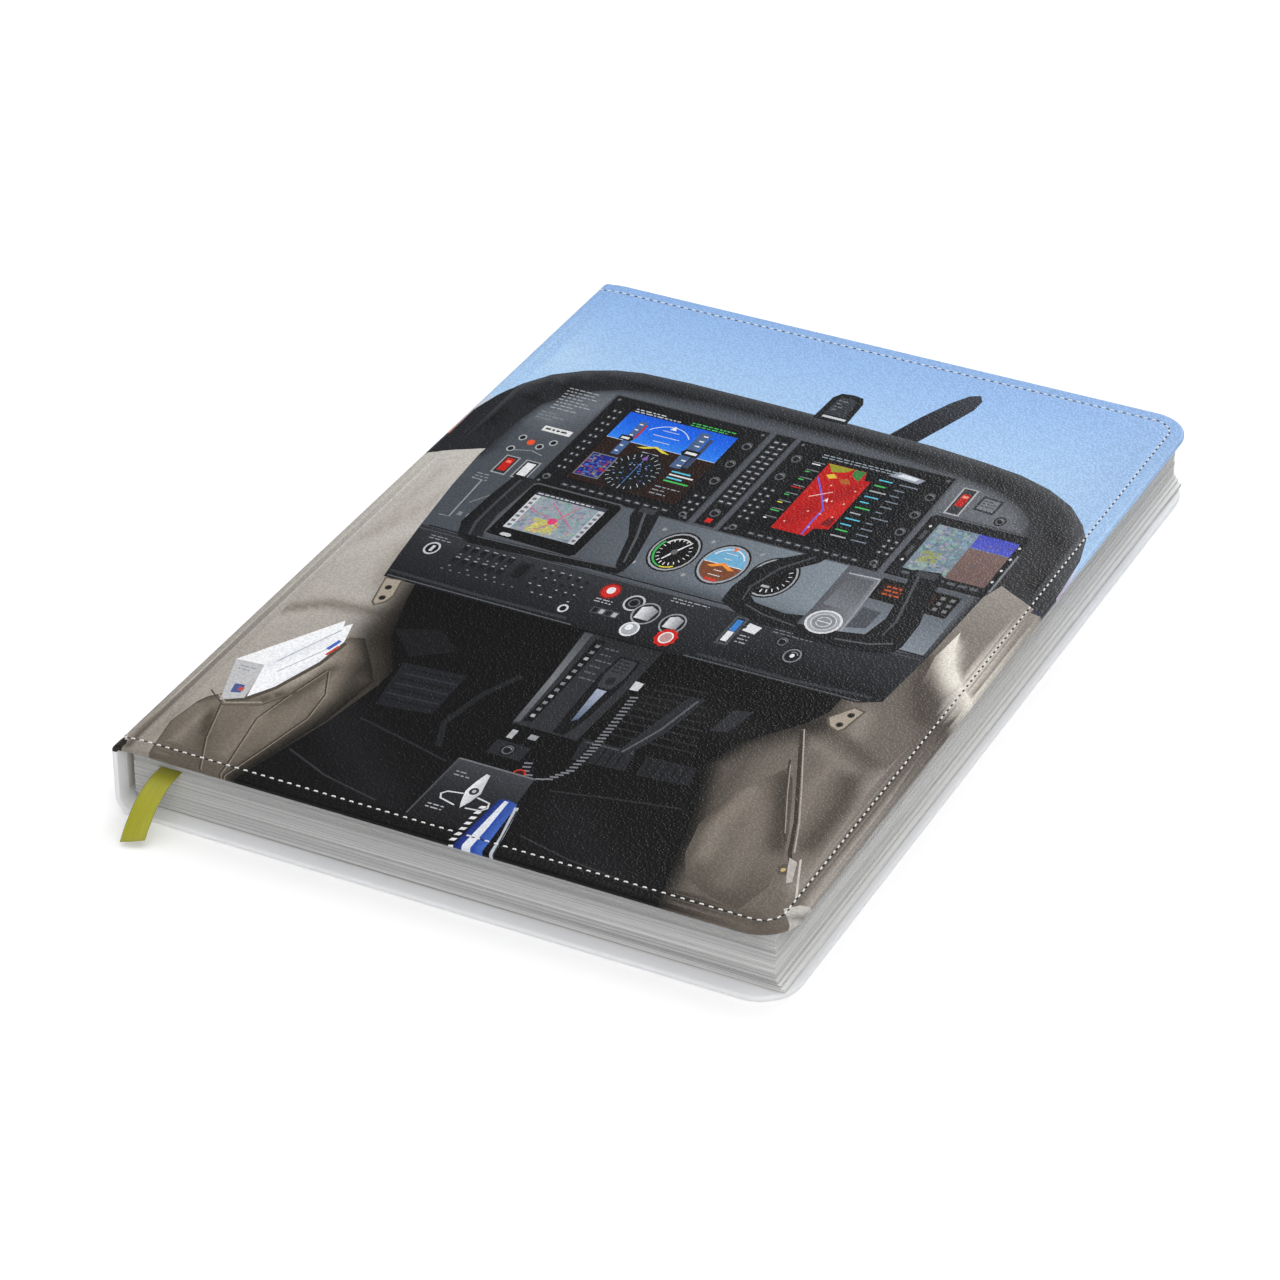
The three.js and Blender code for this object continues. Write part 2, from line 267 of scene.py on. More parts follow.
def leaf_edge():
    """The cut edges of many thin leaves: wavy streaks along the block. The grey tone and the dark
    streaks are painted shade between the leaves.
    """
    shader = Shader("leaf_edges", Specular_IOR_Level=0.15, Roughness=0.85)
    place = shader.coordinates((1, 1, 1), "flat")
    lift = shader.math("MULTIPLY", shader.noise(place, 38.0), 0.00006)
    bent = shader.moved(place, shader.add("ShaderNodeCombineXYZ", 0, [("Z", lift)]))
    fine = shader.noise(shader.scaled(bent, (5, 5, 4000)), 1.0, 3.0, 0.62)
    bands = shader.noise(shader.scaled(bent, (3, 3, 1400)), 1.0)
    total = shader.math("ADD", shader.math("MULTIPLY", fine, 0.66), shader.math("MULTIPLY", bands, 0.34))
    streak = shader.between(total, 0.38, 0.6)
    # Painted shade: dark where the streaks dip between the leaves, and greyer than the paper overall
    shader.to("Base Color", shader.mix(streak, linear((116, 116, 118)), linear((226, 226, 227))))
    shader.to("Normal", shader.bump(streak, 0.6, 0.00008))
    return shader.material


def ruled_page():
    """A page of a log: pale rows and columns, with no lettering."""
    shader = Shader("ruled_page", Specular_IOR_Level=0.2, Roughness=0.75)
    place = shader.coordinates(PER_MM, "flat")
    across, along, _ = shader.parts(place)

    def rule(value, pitch, width):
        phase = shader.math("ABSOLUTE", shader.math("PINGPONG", value, pitch / 2))
        return shader.math("LESS_THAN", phase, width)

    def inside(value, low, high):
        above = shader.math("GREATER_THAN", value, low)
        return shader.math("MULTIPLY", above, shader.math("LESS_THAN", value, high))

    rows = shader.math("MULTIPLY", rule(along, 7.2, 0.09), inside(along, 21.5, 195.0))
    columns = shader.math("MULTIPLY", rule(across, 14.4, 0.09), inside(along, 21.6, 194.4))
    framed = shader.math("MULTIPLY", shader.math("MAXIMUM", rows, columns), inside(across, 14.3, 130.0))
    band = shader.math("MULTIPLY", inside(along, 187.2, 194.4), inside(across, 14.4, 129.6))
    fibre = shader.noise(place, 1.4, 4.0, 0.65)
    paper = shader.mix(fibre, linear((236, 236, 234)), linear((246, 246, 244)))
    tinted = shader.mix(shader.math("MULTIPLY", band, 0.35), paper, linear((150, 170, 195)))
    ruled = shader.math("MULTIPLY", framed, 0.75)
    shader.to("Base Color", shader.mix(ruled, tinted, linear((120, 138, 165))))
    shader.to("Normal", shader.bump(fibre, 0.15, 0.00002))
    return shader.material


def plain_paper(name, low, high, roughness, attribute=None):
    shader = Shader(name, Specular_IOR_Level=0.2, Roughness=roughness)
    place = shader.coordinates(PER_MM, attribute)
    fibre = shader.noise(place, 1.2, 5.0, 0.7)
    flecks = shader.math("MULTIPLY", shader.between(shader.noise(place, 3.5), 0.62, 0.72), 0.12)
    paper = shader.mix(fibre, linear(low), linear(high))
    shader.to("Base Color", shader.mix(flecks, paper, linear((150, 146, 138))))
    shader.to("Normal", shader.bump(fibre, 0.2, 0.00003))
    return shader.material


def woven(name, low, high, pitch, roughness, attribute=None):
    """Plain weave: threads across and along, pitch in metres."""
    shader = Shader(name, Specular_IOR_Level=0.2, Roughness=roughness)
    place = shader.coordinates((1 / pitch, 1 / pitch, 1 / pitch), attribute)
    ridges = [shader.math("PINGPONG", part, 0.5) for part in shader.parts(place)]
    height = shader.math("MAXIMUM", shader.math("MAXIMUM", ridges[0], ridges[1]), ridges[2])
    fuzz = shader.between(shader.noise(place, 0.4, 3.0), 0.2, 0.8, 0.7, 1.0)
    # Painted shade: darker where the weave is low, between the threads; fuzz adds random tone
    tone = shader.math("MULTIPLY", shader.between(height, 0.1, 0.5), fuzz)
    shader.to("Base Color", shader.mix(tone, linear(low), linear(high)))
    shader.to("Normal", shader.bump(height, 0.5, pitch * 0.4))
    return shader.material


def twisted_thread():
    shader = Shader("seam_thread", Specular_IOR_Level=0.3, Roughness=0.6, Sheen_Weight=0.2)
    place = shader.coordinates(PER_MM, "flat")
    twist = shader.add("ShaderNodeTexWave", 0, [
        ("Vector", place), ("Scale", 1.1), ("Distortion", 1.5), ("Detail", 2.0),
    ], bands_direction="DIAGONAL")
    # Painted shade: the thread is darker in the grooves of its twist, where the bump dips
    shader.to("Base Color", shader.mix(twist, linear((214, 214, 210)), linear((250, 250, 248))))
    shader.to("Normal", shader.bump(twist, 0.5, 0.00006))
    return shader.material


# Painted shade: a flat dark disc stands in for the shaded hole that the thread goes into
def needle_hole():
    shader = Shader("needle_hole_shade", Specular_IOR_Level=0.1, Roughness=0.9)
    place = shader.coordinates(PER_MM)
    threads = shader.noise(place, 6.0)
    shader.to("Base Color", shader.mix(threads, linear((14, 14, 16)), linear((44, 42, 42))))
    return shader.material


def satin():
    """Fine weft ribs across the ribbon; "flat" holds the place across it and along it."""
    shader = Shader("ribbon_satin", Specular_IOR_Level=0.45, Sheen_Weight=0.25)
    place = shader.coordinates((1, 1, 1), "flat")
    across, along, _ = shader.parts(place)
    rib, thread = 0.18 * MM, 0.13 * MM
    ribs = shader.between(shader.math("PINGPONG", along, rib), 0.0, rib)
    warp = shader.between(shader.math("PINGPONG", across, thread), 0.0, thread)
    selvedge = shader.between(shader.math("ABSOLUTE", across), 0.00225, 0.00245)
    streaks = shader.noise(shader.scaled(place, (2600, 160, 160)), 1.0, 3.0)
    base = shader.mix(streaks, linear((150, 148, 18)), linear((178, 176, 48)))
    ribbed = shader.mix(shader.math("MULTIPLY", ribs, 0.25), base, linear((120, 117, 4)))
    edged = shader.mix(shader.math("MULTIPLY", selvedge, 0.55), ribbed, linear((104, 101, 0)))
    shader.to("Base Color", edged)
    shader.to("Roughness", shader.between(streaks, 0.3, 0.7, 0.36, 0.5))
    weave = shader.math("ADD", ribs, shader.math("MULTIPLY", warp, 0.5))
    shader.to("Normal", shader.bump(weave, 0.35, 0.00005))
    return shader.material


def studio_floor():
    """White paper that glows a little, so that the book's shadow stays soft."""
    shader = Shader("floor", Specular_IOR_Level=0.0, Roughness=1.0, Emission_Color=(1, 1, 1, 1),
                    Emission_Strength=0.15)
    cloud = shader.noise(shader.coordinates((1, 1, 1)), 3.0)
    shader.to("Base Color", shader.mix(cloud, (0.93, 0.93, 0.93, 1), (0.94, 0.94, 0.94, 1)))
    return shader.material


PRINTED = printed_leather()
WHITE = white_leather()
LEAF_EDGE = leaf_edge()
PAGE = ruled_page()
ENDPAPER = plain_paper("endpaper", (232, 231, 227), (243, 242, 239), 0.8)
ENDPAPER_FLAT = plain_paper("endpaper_leaf", (232, 231, 227), (243, 242, 239), 0.8, "flat")
BOARD = plain_paper("grey_board", (138, 133, 124), (162, 157, 147), 0.9)
LINING = plain_paper("lining_paper", (205, 203, 197), (224, 222, 217), 0.85)
GAUZE = woven("gauze", (176, 170, 152), (233, 228, 214), 0.0007, 0.95)
GAUZE_FLAT = woven("gauze_strip", (176, 170, 152), (233, 228, 214), 0.0007, 0.95, "flat")
THREAD = twisted_thread()
HOLE = needle_hole()
SATIN = satin()
FLOOR = studio_floor()


# ---------- mesh helpers ----------
def new_object(name, points, faces, materials, flat=None, picks=None, smooth=True):
    """A mesh in the row frame. flat holds a texture place for each point, picks a material number
    for each face."""
    mesh = bpy.data.meshes.new(name)
    mesh.from_pydata([tuple(p) for p in points], [], faces)
    for material in materials:
        mesh.materials.append(material)
    if picks is not None:
        mesh.polygons.foreach_set("material_index", picks)
    if flat is not None:
        attribute = mesh.attributes.new("flat", "FLOAT_VECTOR", "POINT")
        attribute.data.foreach_set("vector", [value for place in flat for value in place])
    if smooth:
        mesh.shade_smooth()
    mesh.update()
    obj = bpy.data.objects.new(name, mesh)
    bpy.context.collection.objects.link(obj)
    return obj


def front_profile(t):
    """The front cover's outside in X and Z, t along it: place and outward normal. It is flat from
    t = FRONT_CORNER on, and bends down to the spine before that. The other profiles are alike."""
    drop = CREASE_DROP * (1 - smoothstep(DROP_FULL, CREASE, t))
    groove = GROOVE_DEPTH * math.exp(-((t - CREASE) / GROOVE_WIDTH) ** 2)
    if t >= FRONT_CORNER:
        return (t, TOP - drop - groove), (0.0, 1.0)
    a = (FRONT_CORNER - t) / FRONT_CORNER
    centre = TOP - FRONT_CORNER
    z = centre + (FRONT_CORNER - drop) * math.cos(a)
    return (FRONT_CORNER * (1 - math.sin(a)), z), (-math.sin(a), math.cos(a))


def back_profile(t):
    if t >= BACK_CORNER:
        return (t, 0.0), (0.0, -1.0)
    a = (BACK_CORNER - t) / BACK_CORNER
    return (
        (BACK_CORNER * (1 - math.sin(a)), BACK_CORNER * (1 - math.cos(a))),
        (-math.sin(a), -math.cos(a)),
    )


def spine_profile(t):
    return (0.0, BACK_CORNER + t), (-1.0, 0.0)


def edge_distance(x, y, inset=EDGE_RADIUS, radius=FORE_RADIUS, fore=True):
    """How far a point of the flat layout lies outside a cover's outline drawn inset, and which way."""
    middle = COVER_HEIGHT / 2
    side = 1.0 if y >= middle else -1.0
    qx = x - (COVER_WIDTH - radius) if fore else -1e9
    qy = abs(y - middle) - (middle - radius)
    if qx > 0 and qy > 0:
        length = math.hypot(qx, qy)
        return length - radius + inset, (qx / length, side * qy / length)
    if qx > qy:
        return qx - radius + inset, (1.0, 0.0)
    return qy - radius + inset, (0.0, side)


ARC_OUT = EDGE_RADIUS * math.pi / 2
WALL_RUN = FOLD_DEPTH - EDGE_RADIUS - FOLD_RADIUS
ARC_IN = FOLD_RADIUS * math.pi / 2
FOLD_END = ARC_OUT + WALL_RUN + ARC_IN + TURN_IN


def edge_fold(s):
    """Leather over a cover's edge, s along it from where the flat ends: how far out and how far in."""
    if s <= ARC_OUT:
        a = s / EDGE_RADIUS
        return EDGE_RADIUS * math.sin(a), EDGE_RADIUS * (1 - math.cos(a))
    s -= ARC_OUT
    if s <= WALL_RUN:
        return EDGE_RADIUS, EDGE_RADIUS + s
    s -= WALL_RUN
    if s <= ARC_IN:
        a = s / FOLD_RADIUS
        return (
            EDGE_RADIUS - FOLD_RADIUS * (1 - math.cos(a)),
            FOLD_DEPTH - FOLD_RADIUS + FOLD_RADIUS * math.sin(a),
        )
    return EDGE_RADIUS - FOLD_RADIUS - (s - ARC_IN), FOLD_DEPTH


def folded(x, y, profile, fore, lift=0.0):
    """A point of the flat layout, folded round the cover's edges and corner; lift is off its face."""
    s, (nx, ny) = edge_distance(x, y, fore=fore)
    depth = 0.0
    if s > 0:
        out, depth = edge_fold(s)
        x += nx * (out - s)
        y += ny * (out - s)
    (px, pz), (ox, oz) = profile(x)
    return row(px + ox * (lift - depth), y, pz + oz * (lift - depth))


def outline(offset, left, radius=FORE_RADIUS, corner_steps=14):
    """The flat layout's outline, offset outwards from the cover's own, from tail left to head left."""
    grown = max(radius + offset, 0.01)
    points = [(left, -offset)]
    centre_x = COVER_WIDTH - radius
    for centre_y, start in ((radius, -90), (COVER_HEIGHT - radius, 0)):
        for step in range(corner_steps + 1):
            a = math.radians(start + 90 * step / corner_steps)
            points.append((centre_x + grown * math.cos(a), centre_y + grown * math.sin(a)))
    points.append((left, COVER_HEIGHT + offset))
    return points


EDGE_LOOPS = [-0.3, 0.0]
EDGE_LOOPS += [ARC_OUT * k / 4 for k in (1, 2, 3, 4)]
EDGE_LOOPS += [ARC_OUT + WALL_RUN + ARC_IN * k / 2 for k in (0, 1, 2)]


def signed_area(points):
    pairs = zip(points, points[1:] + points[:1])
    return sum(ax * by - bx * ay for (ax, ay), (bx, by) in pairs) / 2


def triangulate(left, right, loops, uprights, dots, shapes, fore):
    """The flat layout as triangles, each with the number of its topmost shape, or -1."""
    verts, edges, faces = [], [], []

    def chain(points, closed=False):
        first = len(verts)
        if closed and signed_area(points) < 0:  # faces go in anticlockwise
            points = points[::-1]
        verts.extend(Vector(p) for p in points)
        for i in range(first, len(verts) - 1):
            edges.append((i, i + 1))
        if closed:
            faces.append(list(range(first, len(verts))))

    reach = FOLD_END - EDGE_RADIUS
    if fore:
        chain(outline(reach, left), closed=True)
    else:
        chain([(left, -reach), (right, -reach), (right, COVER_HEIGHT + reach),
               (left, COVER_HEIGHT + reach)], closed=True)
    for points in shapes:
        chain(points, closed=True)
    for loop in loops:
        chain(loop)
    for x in uprights:
        chain([(x, -reach), (x, COVER_HEIGHT + reach)])
    verts.extend(Vector(p) for p in dots)
    out = delaunay_2d_cdt(verts, edges, faces, 0, 1e-4, True)
    triangles, tops = [], []
    for triangle, sources in zip(out[2], out[5]):
        if 0 in sources:
            triangles.append(triangle)
            tops.append(max(sources) - 1)
    used = sorted({i for triangle in triangles for i in triangle})
    number = {old: new for new, old in enumerate(used)}
    places = [(out[0][i].x, out[0][i].y) for i in used]
    return places, [[number[i] for i in triangle] for triangle in triangles], tops


def leather_sheet(name, profile, material, left, right=None, loops=(), uprights=(), dots=(),
                  shapes=(), inward=False):
    """A cover's leather, folded over its edges. Without right, it goes round the fore-edge too."""
    fore = right is None
    if fore:
        ends = [outline(s - EDGE_RADIUS, left) for s in EDGE_LOOPS]
    else:
        ends = []
        for s in EDGE_LOOPS:
            grown = s - EDGE_RADIUS
            ends.append([(left, -grown), (right, -grown)])
            ends.append([(left, COVER_HEIGHT + grown), (right, COVER_HEIGHT + grown)])
    places, triangles, tops = triangulate(
        left, right, ends + list(loops), uprights, dots, shapes, fore)
    points = []
    for x, y in places:
        lift = -SEAM_DIP * seam_dip(x, y) if shapes else 0.0
        points.append(folded(x, y, profile, fore, lift))
    if inward:
        triangles = [triangle[::-1] for triangle in triangles]
    flat = [(x * MM, y * MM, 0.0) for x, y in places]
    return new_object(name, points, triangles, [material], flat), places, triangles, tops


def seam_dip(x, y):
    """1 on the line of stitches, falling to 0 beside it."""
    s, _ = edge_distance(x, y, SEAM_INSET, SEAM_RADIUS + SEAM_INSET)
    return math.exp(-(s / SEAM_SPREAD) ** 2)


# ---------- the cover picture ----------
# A generic light aircraft's cockpit, laid out in millimetres: x from the spine, y from the tail.
# Shapes are painted in order, each with one sRGB colour or a function of the place.
shapes = []
colours = []


def by_place(colour):
    return colour if callable(colour) else lambda x, y: colour


def paint(points, colour):
    shapes.append(list(points))
    colours.append(by_place(colour))


def rect(x0, y0, x1, y1, colour):
    paint([(x0, y0), (x1, y0), (x1, y1), (x0, y1)], colour)


def ellipse(x, y, rx, ry, colour, steps=20):
    turn = [2 * math.pi * k / steps for k in range(steps)]
    paint([(x + rx * math.cos(a), y + ry * math.sin(a)) for a in turn], colour)


def ring(x, y, rx, ry, width, rim, face):
    """width is the rim's width across; the vertical one follows the ellipse's shape."""
    ellipse(x, y, rx, ry, rim)
    ellipse(x, y, rx - width, ry - width * ry / rx, face)


def line(points, width, colour):
    """A band along points; width is one number, or one for each point."""
    widths = width if isinstance(width, (list, tuple)) else [width] * len(points)
    left, right = [], []
    for i, (x, y) in enumerate(points):
        ax, ay = points[max(i - 1, 0)]
        bx, by = points[min(i + 1, len(points) - 1)]
        run = math.hypot(bx - ax, by - ay)
        nx, ny = -(by - ay) / run * widths[i] / 2, (bx - ax) / run * widths[i] / 2
        left.append((x + nx, y + ny))
        right.append((x - nx, y - ny))
    paint(left + right[::-1], colour)


def arc(x, y, rx, ry, start, end, width, colour, steps=12):
    angles = [math.radians(start + (end - start) * k / steps) for k in range(steps + 1)]
    line([(x + rx * math.cos(a), y + ry * math.sin(a)) for a in angles], width, colour)


def bars(x0, y0, x1, y1, pitch, height, colour, least=0.35):
    """Rows of short bars that look like small print from afar, but say nothing."""
    y = y1 - pitch / 2
    while y > y0:
        x = x0
        stop = x0 + (x1 - x0) * rng.uniform(least, 1.0)
        while x < stop - 0.3:
            length = min(rng.uniform(0.5, 1.6), stop - x)
            rect(x, y - height / 2, x + length, y + height / 2, colour)
            x += length + 0.35
        y -= pitch


def grid(x0, y0, x1, y1, columns, rows, rx, ry, colour, chance=1.0):
    """Small buttons or lamps in rows."""
    for i in range(columns):
        for j in range(rows):
            if rng.random() < chance:
                x = x0 + (x1 - x0) * i / max(columns - 1, 1)
                y = y0 + (y1 - y0) * j / max(rows - 1, 1)
                rect(x - rx, y - ry, x + rx, y + ry, colour)


def key_row(x, y, top, mark_y, mark_tone):
    """The twelve keys along the tail side of a display, each with a pale mark."""
    for k in range(12):
        rect(x + k * 2.2, y, x + 1.6 + k * 2.2, top, (58, 60, 65))
        rect(x + 0.3 + k * 2.2, mark_y, x + 1.3 + k * 2.2, mark_y + 0.4, mark_tone)


def key_pair(x0, x1, y, ry, mark_y):
    """Two keys beside each other on a display's side."""
    grid(x0, y, x1, y, 2, 1, 0.5, ry, (62, 64, 70))
    grid(x0, y, x1, y, 2, 1, 0.26, mark_y, LIGHT)


def knob(x, y, rx, ry, rim=(92, 94, 98)):
    ellipse(x, y, rx + 0.35, ry + 0.5, (20, 21, 24), 16)
    ring(x, y, rx, ry, 0.35, rim, (24, 25, 28))
    arc(x, y, rx * 0.55, ry * 0.55, 20, 130, 0.22, (150, 152, 156), 5)


def blend_colour(a, b, share):
    share = min(1.0, max(0.0, share))
    return tuple(p + (q - p) * share for p, q in zip(a, b))


def ramp(stops):
    """A colour up the cover from (y, colour) stops."""
    def colour(x, y):
        for (y0, c0), (y1, c1) in zip(stops, stops[1:]):
            if y <= y1:
                return blend_colour(c0, c1, (y - y0) / (y1 - y0))
        return stops[-1][1]
    return colour


def across(x0, c0, x1, c1):
    return lambda x, y: blend_colour(c0, c1, (x - x0) / (x1 - x0))


def line_distance(x, y, points):
    best = 1e9
    for (ax, ay), (bx, by) in zip(points, points[1:]):
        dx, dy = bx - ax, by - ay
        share = min(1.0, max(0.0, ((x - ax) * dx + (y - ay) * dy) / (dx * dx + dy * dy)))
        best = min(best, math.hypot(x - ax - share * dx, y - ay - share * dy))
    return best


def soft(base, folds):
    """base with soft lights and shadows: (points, width, colour, strength) each."""
    under = by_place(base)

    def colour(x, y):
        out = under(x, y)
        for points, width, tint, strength in folds:
            near = math.exp(-(line_distance(x, y, points) / width) ** 2)
            out = blend_colour(out, tint, near * strength)
        return out
    return colour


def mesh_dots(x0, y0, x1, y1, pitch):
    """Places that give a soft colour something to sit on."""
    out = []
    y = y0
    while y <= y1:
        x = x0
        while x <= x1:
            out.append((x, y))
            x += pitch
        y += pitch
    return out


BLACK = (18, 18, 20)
DARK = (30, 31, 34)
CASE = (22, 23, 26)
GREY = (104, 106, 110)
LIGHT = (176, 178, 182)
SILVER = (198, 200, 204)
RED = (196, 30, 24)
WHITE_INK = (232, 233, 236)
YELLOW = (226, 210, 74)
CYAN = (92, 196, 222)
GREEN = (70, 196, 96)


LEFT_FOOT = [(31, 59), (37.5, 48), (37.5, 42), (35, 26), (32, 14), (28.5, 0), (27, -9)]
RIGHT_FOOT = [(123, -9), (121.6, 0), (116.6, 22), (112.6, 36), (109.5, 46), (112, 56), (121, 68)]


def outside_and_cabin():
    """Sky beyond the windscreen, both side walls, and the dark footwell between their feet."""
    sky = ramp([(168, (178, 212, 247)), (182, (172, 206, 243)), (193, (164, 200, 244)),
                (205, (155, 192, 240)), (217, (147, 184, 235)), (226, (142, 180, 232))])
    haze = [([(152, 216), (150, 190), (150, 168)], 16.0, (150, 182, 224), 0.6),
            ([(2, 186), (10, 178)], 7.0, (190, 220, 249), 0.5)]
    paint([(-9, -9), (158, -9), (158, 226), (-9, 226)], soft(sky, haze))
    # left wall: a pale lining above, a pocket of darker cloth below
    wall = ramp([(-8, (128, 120, 110)), (4, (160, 153, 144)), (30, (172, 166, 158)),
                 (60, (176, 170, 163)), (80, (184, 179, 172)), (104, (190, 185, 178)),
                 (136, (198, 194, 188))])
    folds = [
        ([(4, 124), (4, 90), (3.4, 52), (2, 30)], 1.3, (232, 229, 224), 0.85),
        ([(0.4, 126), (0.6, 90), (0.2, 50)], 1.3, (150, 143, 134), 0.45),
        ([(7.4, 124), (6.8, 96), (5.4, 60)], 1.3, (168, 162, 154), 0.45),
        ([(13.6, 114), (8, 96), (2, 84), (-4, 76)], 1.1, (158, 151, 143), 0.5),
        ([(15, 100), (10, 90), (4, 80)], 1.5, (206, 202, 196), 0.4),
        ([(16.5, 92), (17.6, 80), (19, 76)], 2.2, (148, 141, 132), 0.6),
        ([(-3, 50), (5, 58), (13, 64.5), (24, 66), (31, 68)], 1.7, (118, 110, 101), 0.75),
        ([(-2, 46), (5, 54), (12, 60)], 1.5, (194, 189, 181), 0.45),
        ([(-0.6, 6), (0.2, 20), (0.2, 32)], 1.1, (72, 66, 59), 0.8),
        ([(3.6, 1), (2.8, 9), (0.9, 18)], 0.9, (80, 73, 65), 0.75),
        ([(6.4, 2), (6, 14), (3.4, 27)], 0.9, (138, 130, 120), 0.6),
        ([(8, 70), (16, 70), (23, 70)], 2.0, (190, 185, 177), 0.4),
        ([(26.5, 80), (28.4, 66), (30, 56)], 5.0, (46, 42, 38), 0.97),
        ([(30, 60), (32, 52), (36, 46)], 5.6, (52, 48, 43), 0.92),
        ([(38, 48), (36, 34), (32, 18), (28, 0), (26, -9)], 4.4, (48, 44, 39), 0.9),
        ([(29.4, 76), (29.4, 67), (31.6, 58), (38, 48.4)], 2.2, (26, 24, 22), 0.96),
    ]
    left = [(-9, 126), (0, 128), (12, 135.5), (18, 140), (30, 110), (30, 84), (29, 68)]
    paint(left + LEFT_FOOT + [(-9, -9)], soft(wall, folds))
    cloth = ramp([(-8, (84, 77, 68)), (6, (108, 100, 90)), (24, (124, 115, 104)), (44, (120, 111, 101)),
                  (62, (104, 96, 87))])
    draped = [
        ([(20.4, 56), (24, 46), (22, 36), (17, 28.6)], 1.1, (182, 174, 163), 0.75),
        ([(24.6, 52), (27, 42), (29, 34)], 1.2, (152, 143, 131), 0.6),
        ([(26.4, 44), (25, 34), (22, 24)], 1.3, (78, 71, 62), 0.7),
        ([(19, 30), (22, 20), (22.4, 6)], 1.6, (142, 133, 121), 0.65),
        ([(8.4, 25), (12, 18), (15.3, 11)], 1.2, (64, 58, 50), 0.85),
        ([(15.3, 11), (17, 6), (19, 2)], 1.2, (82, 75, 66), 0.6),
        ([(10.5, 22), (11, 10), (12, -4)], 1.3, (150, 142, 131), 0.65),
        ([(29, 26), (28, 12), (26, 0)], 1.5, (140, 131, 119), 0.5),
        ([(31, 46), (34, 34), (32, 18), (28, 2)], 2.2, (58, 53, 47), 0.8),
        ([(14, 23), (18, 24.6), (21, 30)], 0.9, (66, 60, 52), 0.7),
        ([(24, 60), (28, 56), (32, 50), (37, 43), (35.4, 26), (32.2, 12), (29.2, 0), (28, -9)], 2.8,
         (24, 22, 20), 0.97),
    ]
    paint([(7.8, 20), (10.4, 25), (15, 27), (20, 44), (23.4, 55), (26.4, 56), (31, 50), (36, 43),
           (34.6, 26), (31.4, 12), (28.4, 0), (27, -9), (11, -9), (8.6, 2), (6.8, 12)],
          soft(cloth, draped))
    line([(7.8, 20), (6.8, 12), (8.6, 2), (11, -9)], [0.25, 0.35, 0.4, 0.4], (98, 90, 80))
    line([(7.8, 20), (9, 23), (11, 25.2), (15, 27)], 0.5, (84, 76, 67))
    for seam in ([(25.8, 42), (29.6, 34), (30.6, 25), (28, 10), (25.6, -2)],
                 [(25.4, 42), (23.2, 31), (21.6, 20.5), (24.6, 4), (25.4, -2)],
                 [(12.4, 22), (16, 10), (20.6, 0)]):
        line(seam, 0.26, (62, 56, 49))
        line([(x + 0.4, y) for x, y in seam], 0.2, (146, 137, 125))
    # the dark shoulder of the lining at the spine's tail end
    paint([(-4, -9), (1.4, -9), (2.8, 1.5), (1.5, 4.2), (-0.4, 6.5), (-4, 6)], (44, 39, 35))
    line([(0.4, 5.6), (2.0, 2.6)], 0.5, (198, 194, 188))
    # right wall: a pale flap above, a long bright fold, and a pocket closed by a zip
    hide = ramp([(-8, (96, 88, 80)), (8, (112, 104, 95)), (30, (118, 109, 100)), (60, (112, 104, 97)),
                 (84, (112, 104, 97)), (100, (128, 120, 113)), (114, (132, 125, 119)),
                 (134, (156, 149, 142))])
    creases = [
        ([(136.6, 106), (139.6, 99), (144.6, 92.4), (151, 85.6)], 1.7, (236, 231, 221), 1.0),
        ([(140, 96.6), (145, 90), (150, 83.4)], 1.9, (214, 207, 196), 0.8),
        ([(136, 110), (137.6, 106)], 0.8, (226, 220, 210), 0.8),
        ([(133.6, 100), (136, 90), (141, 81), (151, 72)], 3.0, (76, 69, 63), 0.88),
        ([(142, 108), (147, 102)], 3.0, (138, 129, 122), 0.6),
        ([(130, 76), (131.5, 68)], 2.6, (154, 146, 137), 0.7),
        ([(122, 68.5), (131, 66), (140, 60), (150, 50)], 1.9, (88, 80, 73), 0.75),
        ([(126, 62), (134, 58), (142, 52)], 1.7, (150, 141, 132), 0.5),
        ([(131.5, 58), (132, 46), (133.5, 34)], 1.7, (142, 133, 124), 0.6),
        ([(137.5, 54), (139.4, 44), (139.4, 30)], 2.4, (74, 67, 61), 0.8),
        ([(142, 58), (144, 44), (144.6, 30), (143, 16)], 2.2, (158, 151, 144), 0.8),
        ([(147.6, 50), (147.4, 30), (147.6, 12)], 1.1, (196, 190, 184), 0.7),
        ([(122, 69), (112.4, 58), (109, 47), (112.6, 36), (116.6, 22), (122, -8)], 3.4,
         (24, 23, 21), 0.98),
        ([(119, 64), (115.5, 52), (117, 38)], 2.4, (76, 70, 64), 0.6),
        ([(127, 10), (134, 4), (142, 3)], 2.2, (84, 76, 69), 0.6),
        ([(122.5, 82), (124, 72), (121, 66)], 2.2, (58, 53, 49), 0.8),
    ]
    right = [(136, 133.5), (146, 127.8), (148, 126.5), (158, 124), (158, -9)]
    paint(right + RIGHT_FOOT + [(123, 74), (122.5, 84), (122, 130)], soft(hide, creases))
    edge = [(135.4, 113), (136.8, 107), (139.2, 101), (142.8, 95.6), (147.4, 90.4), (156, 84)]
    fade = [(158, 70), (149, 76), (141, 83), (136, 91), (134.4, 102)]

    def lit(x, y):
        shade = smoothstep(1.2, 7.5, line_distance(x, y, edge))
        return blend_colour((236, 231, 220), (84, 77, 71), shade)

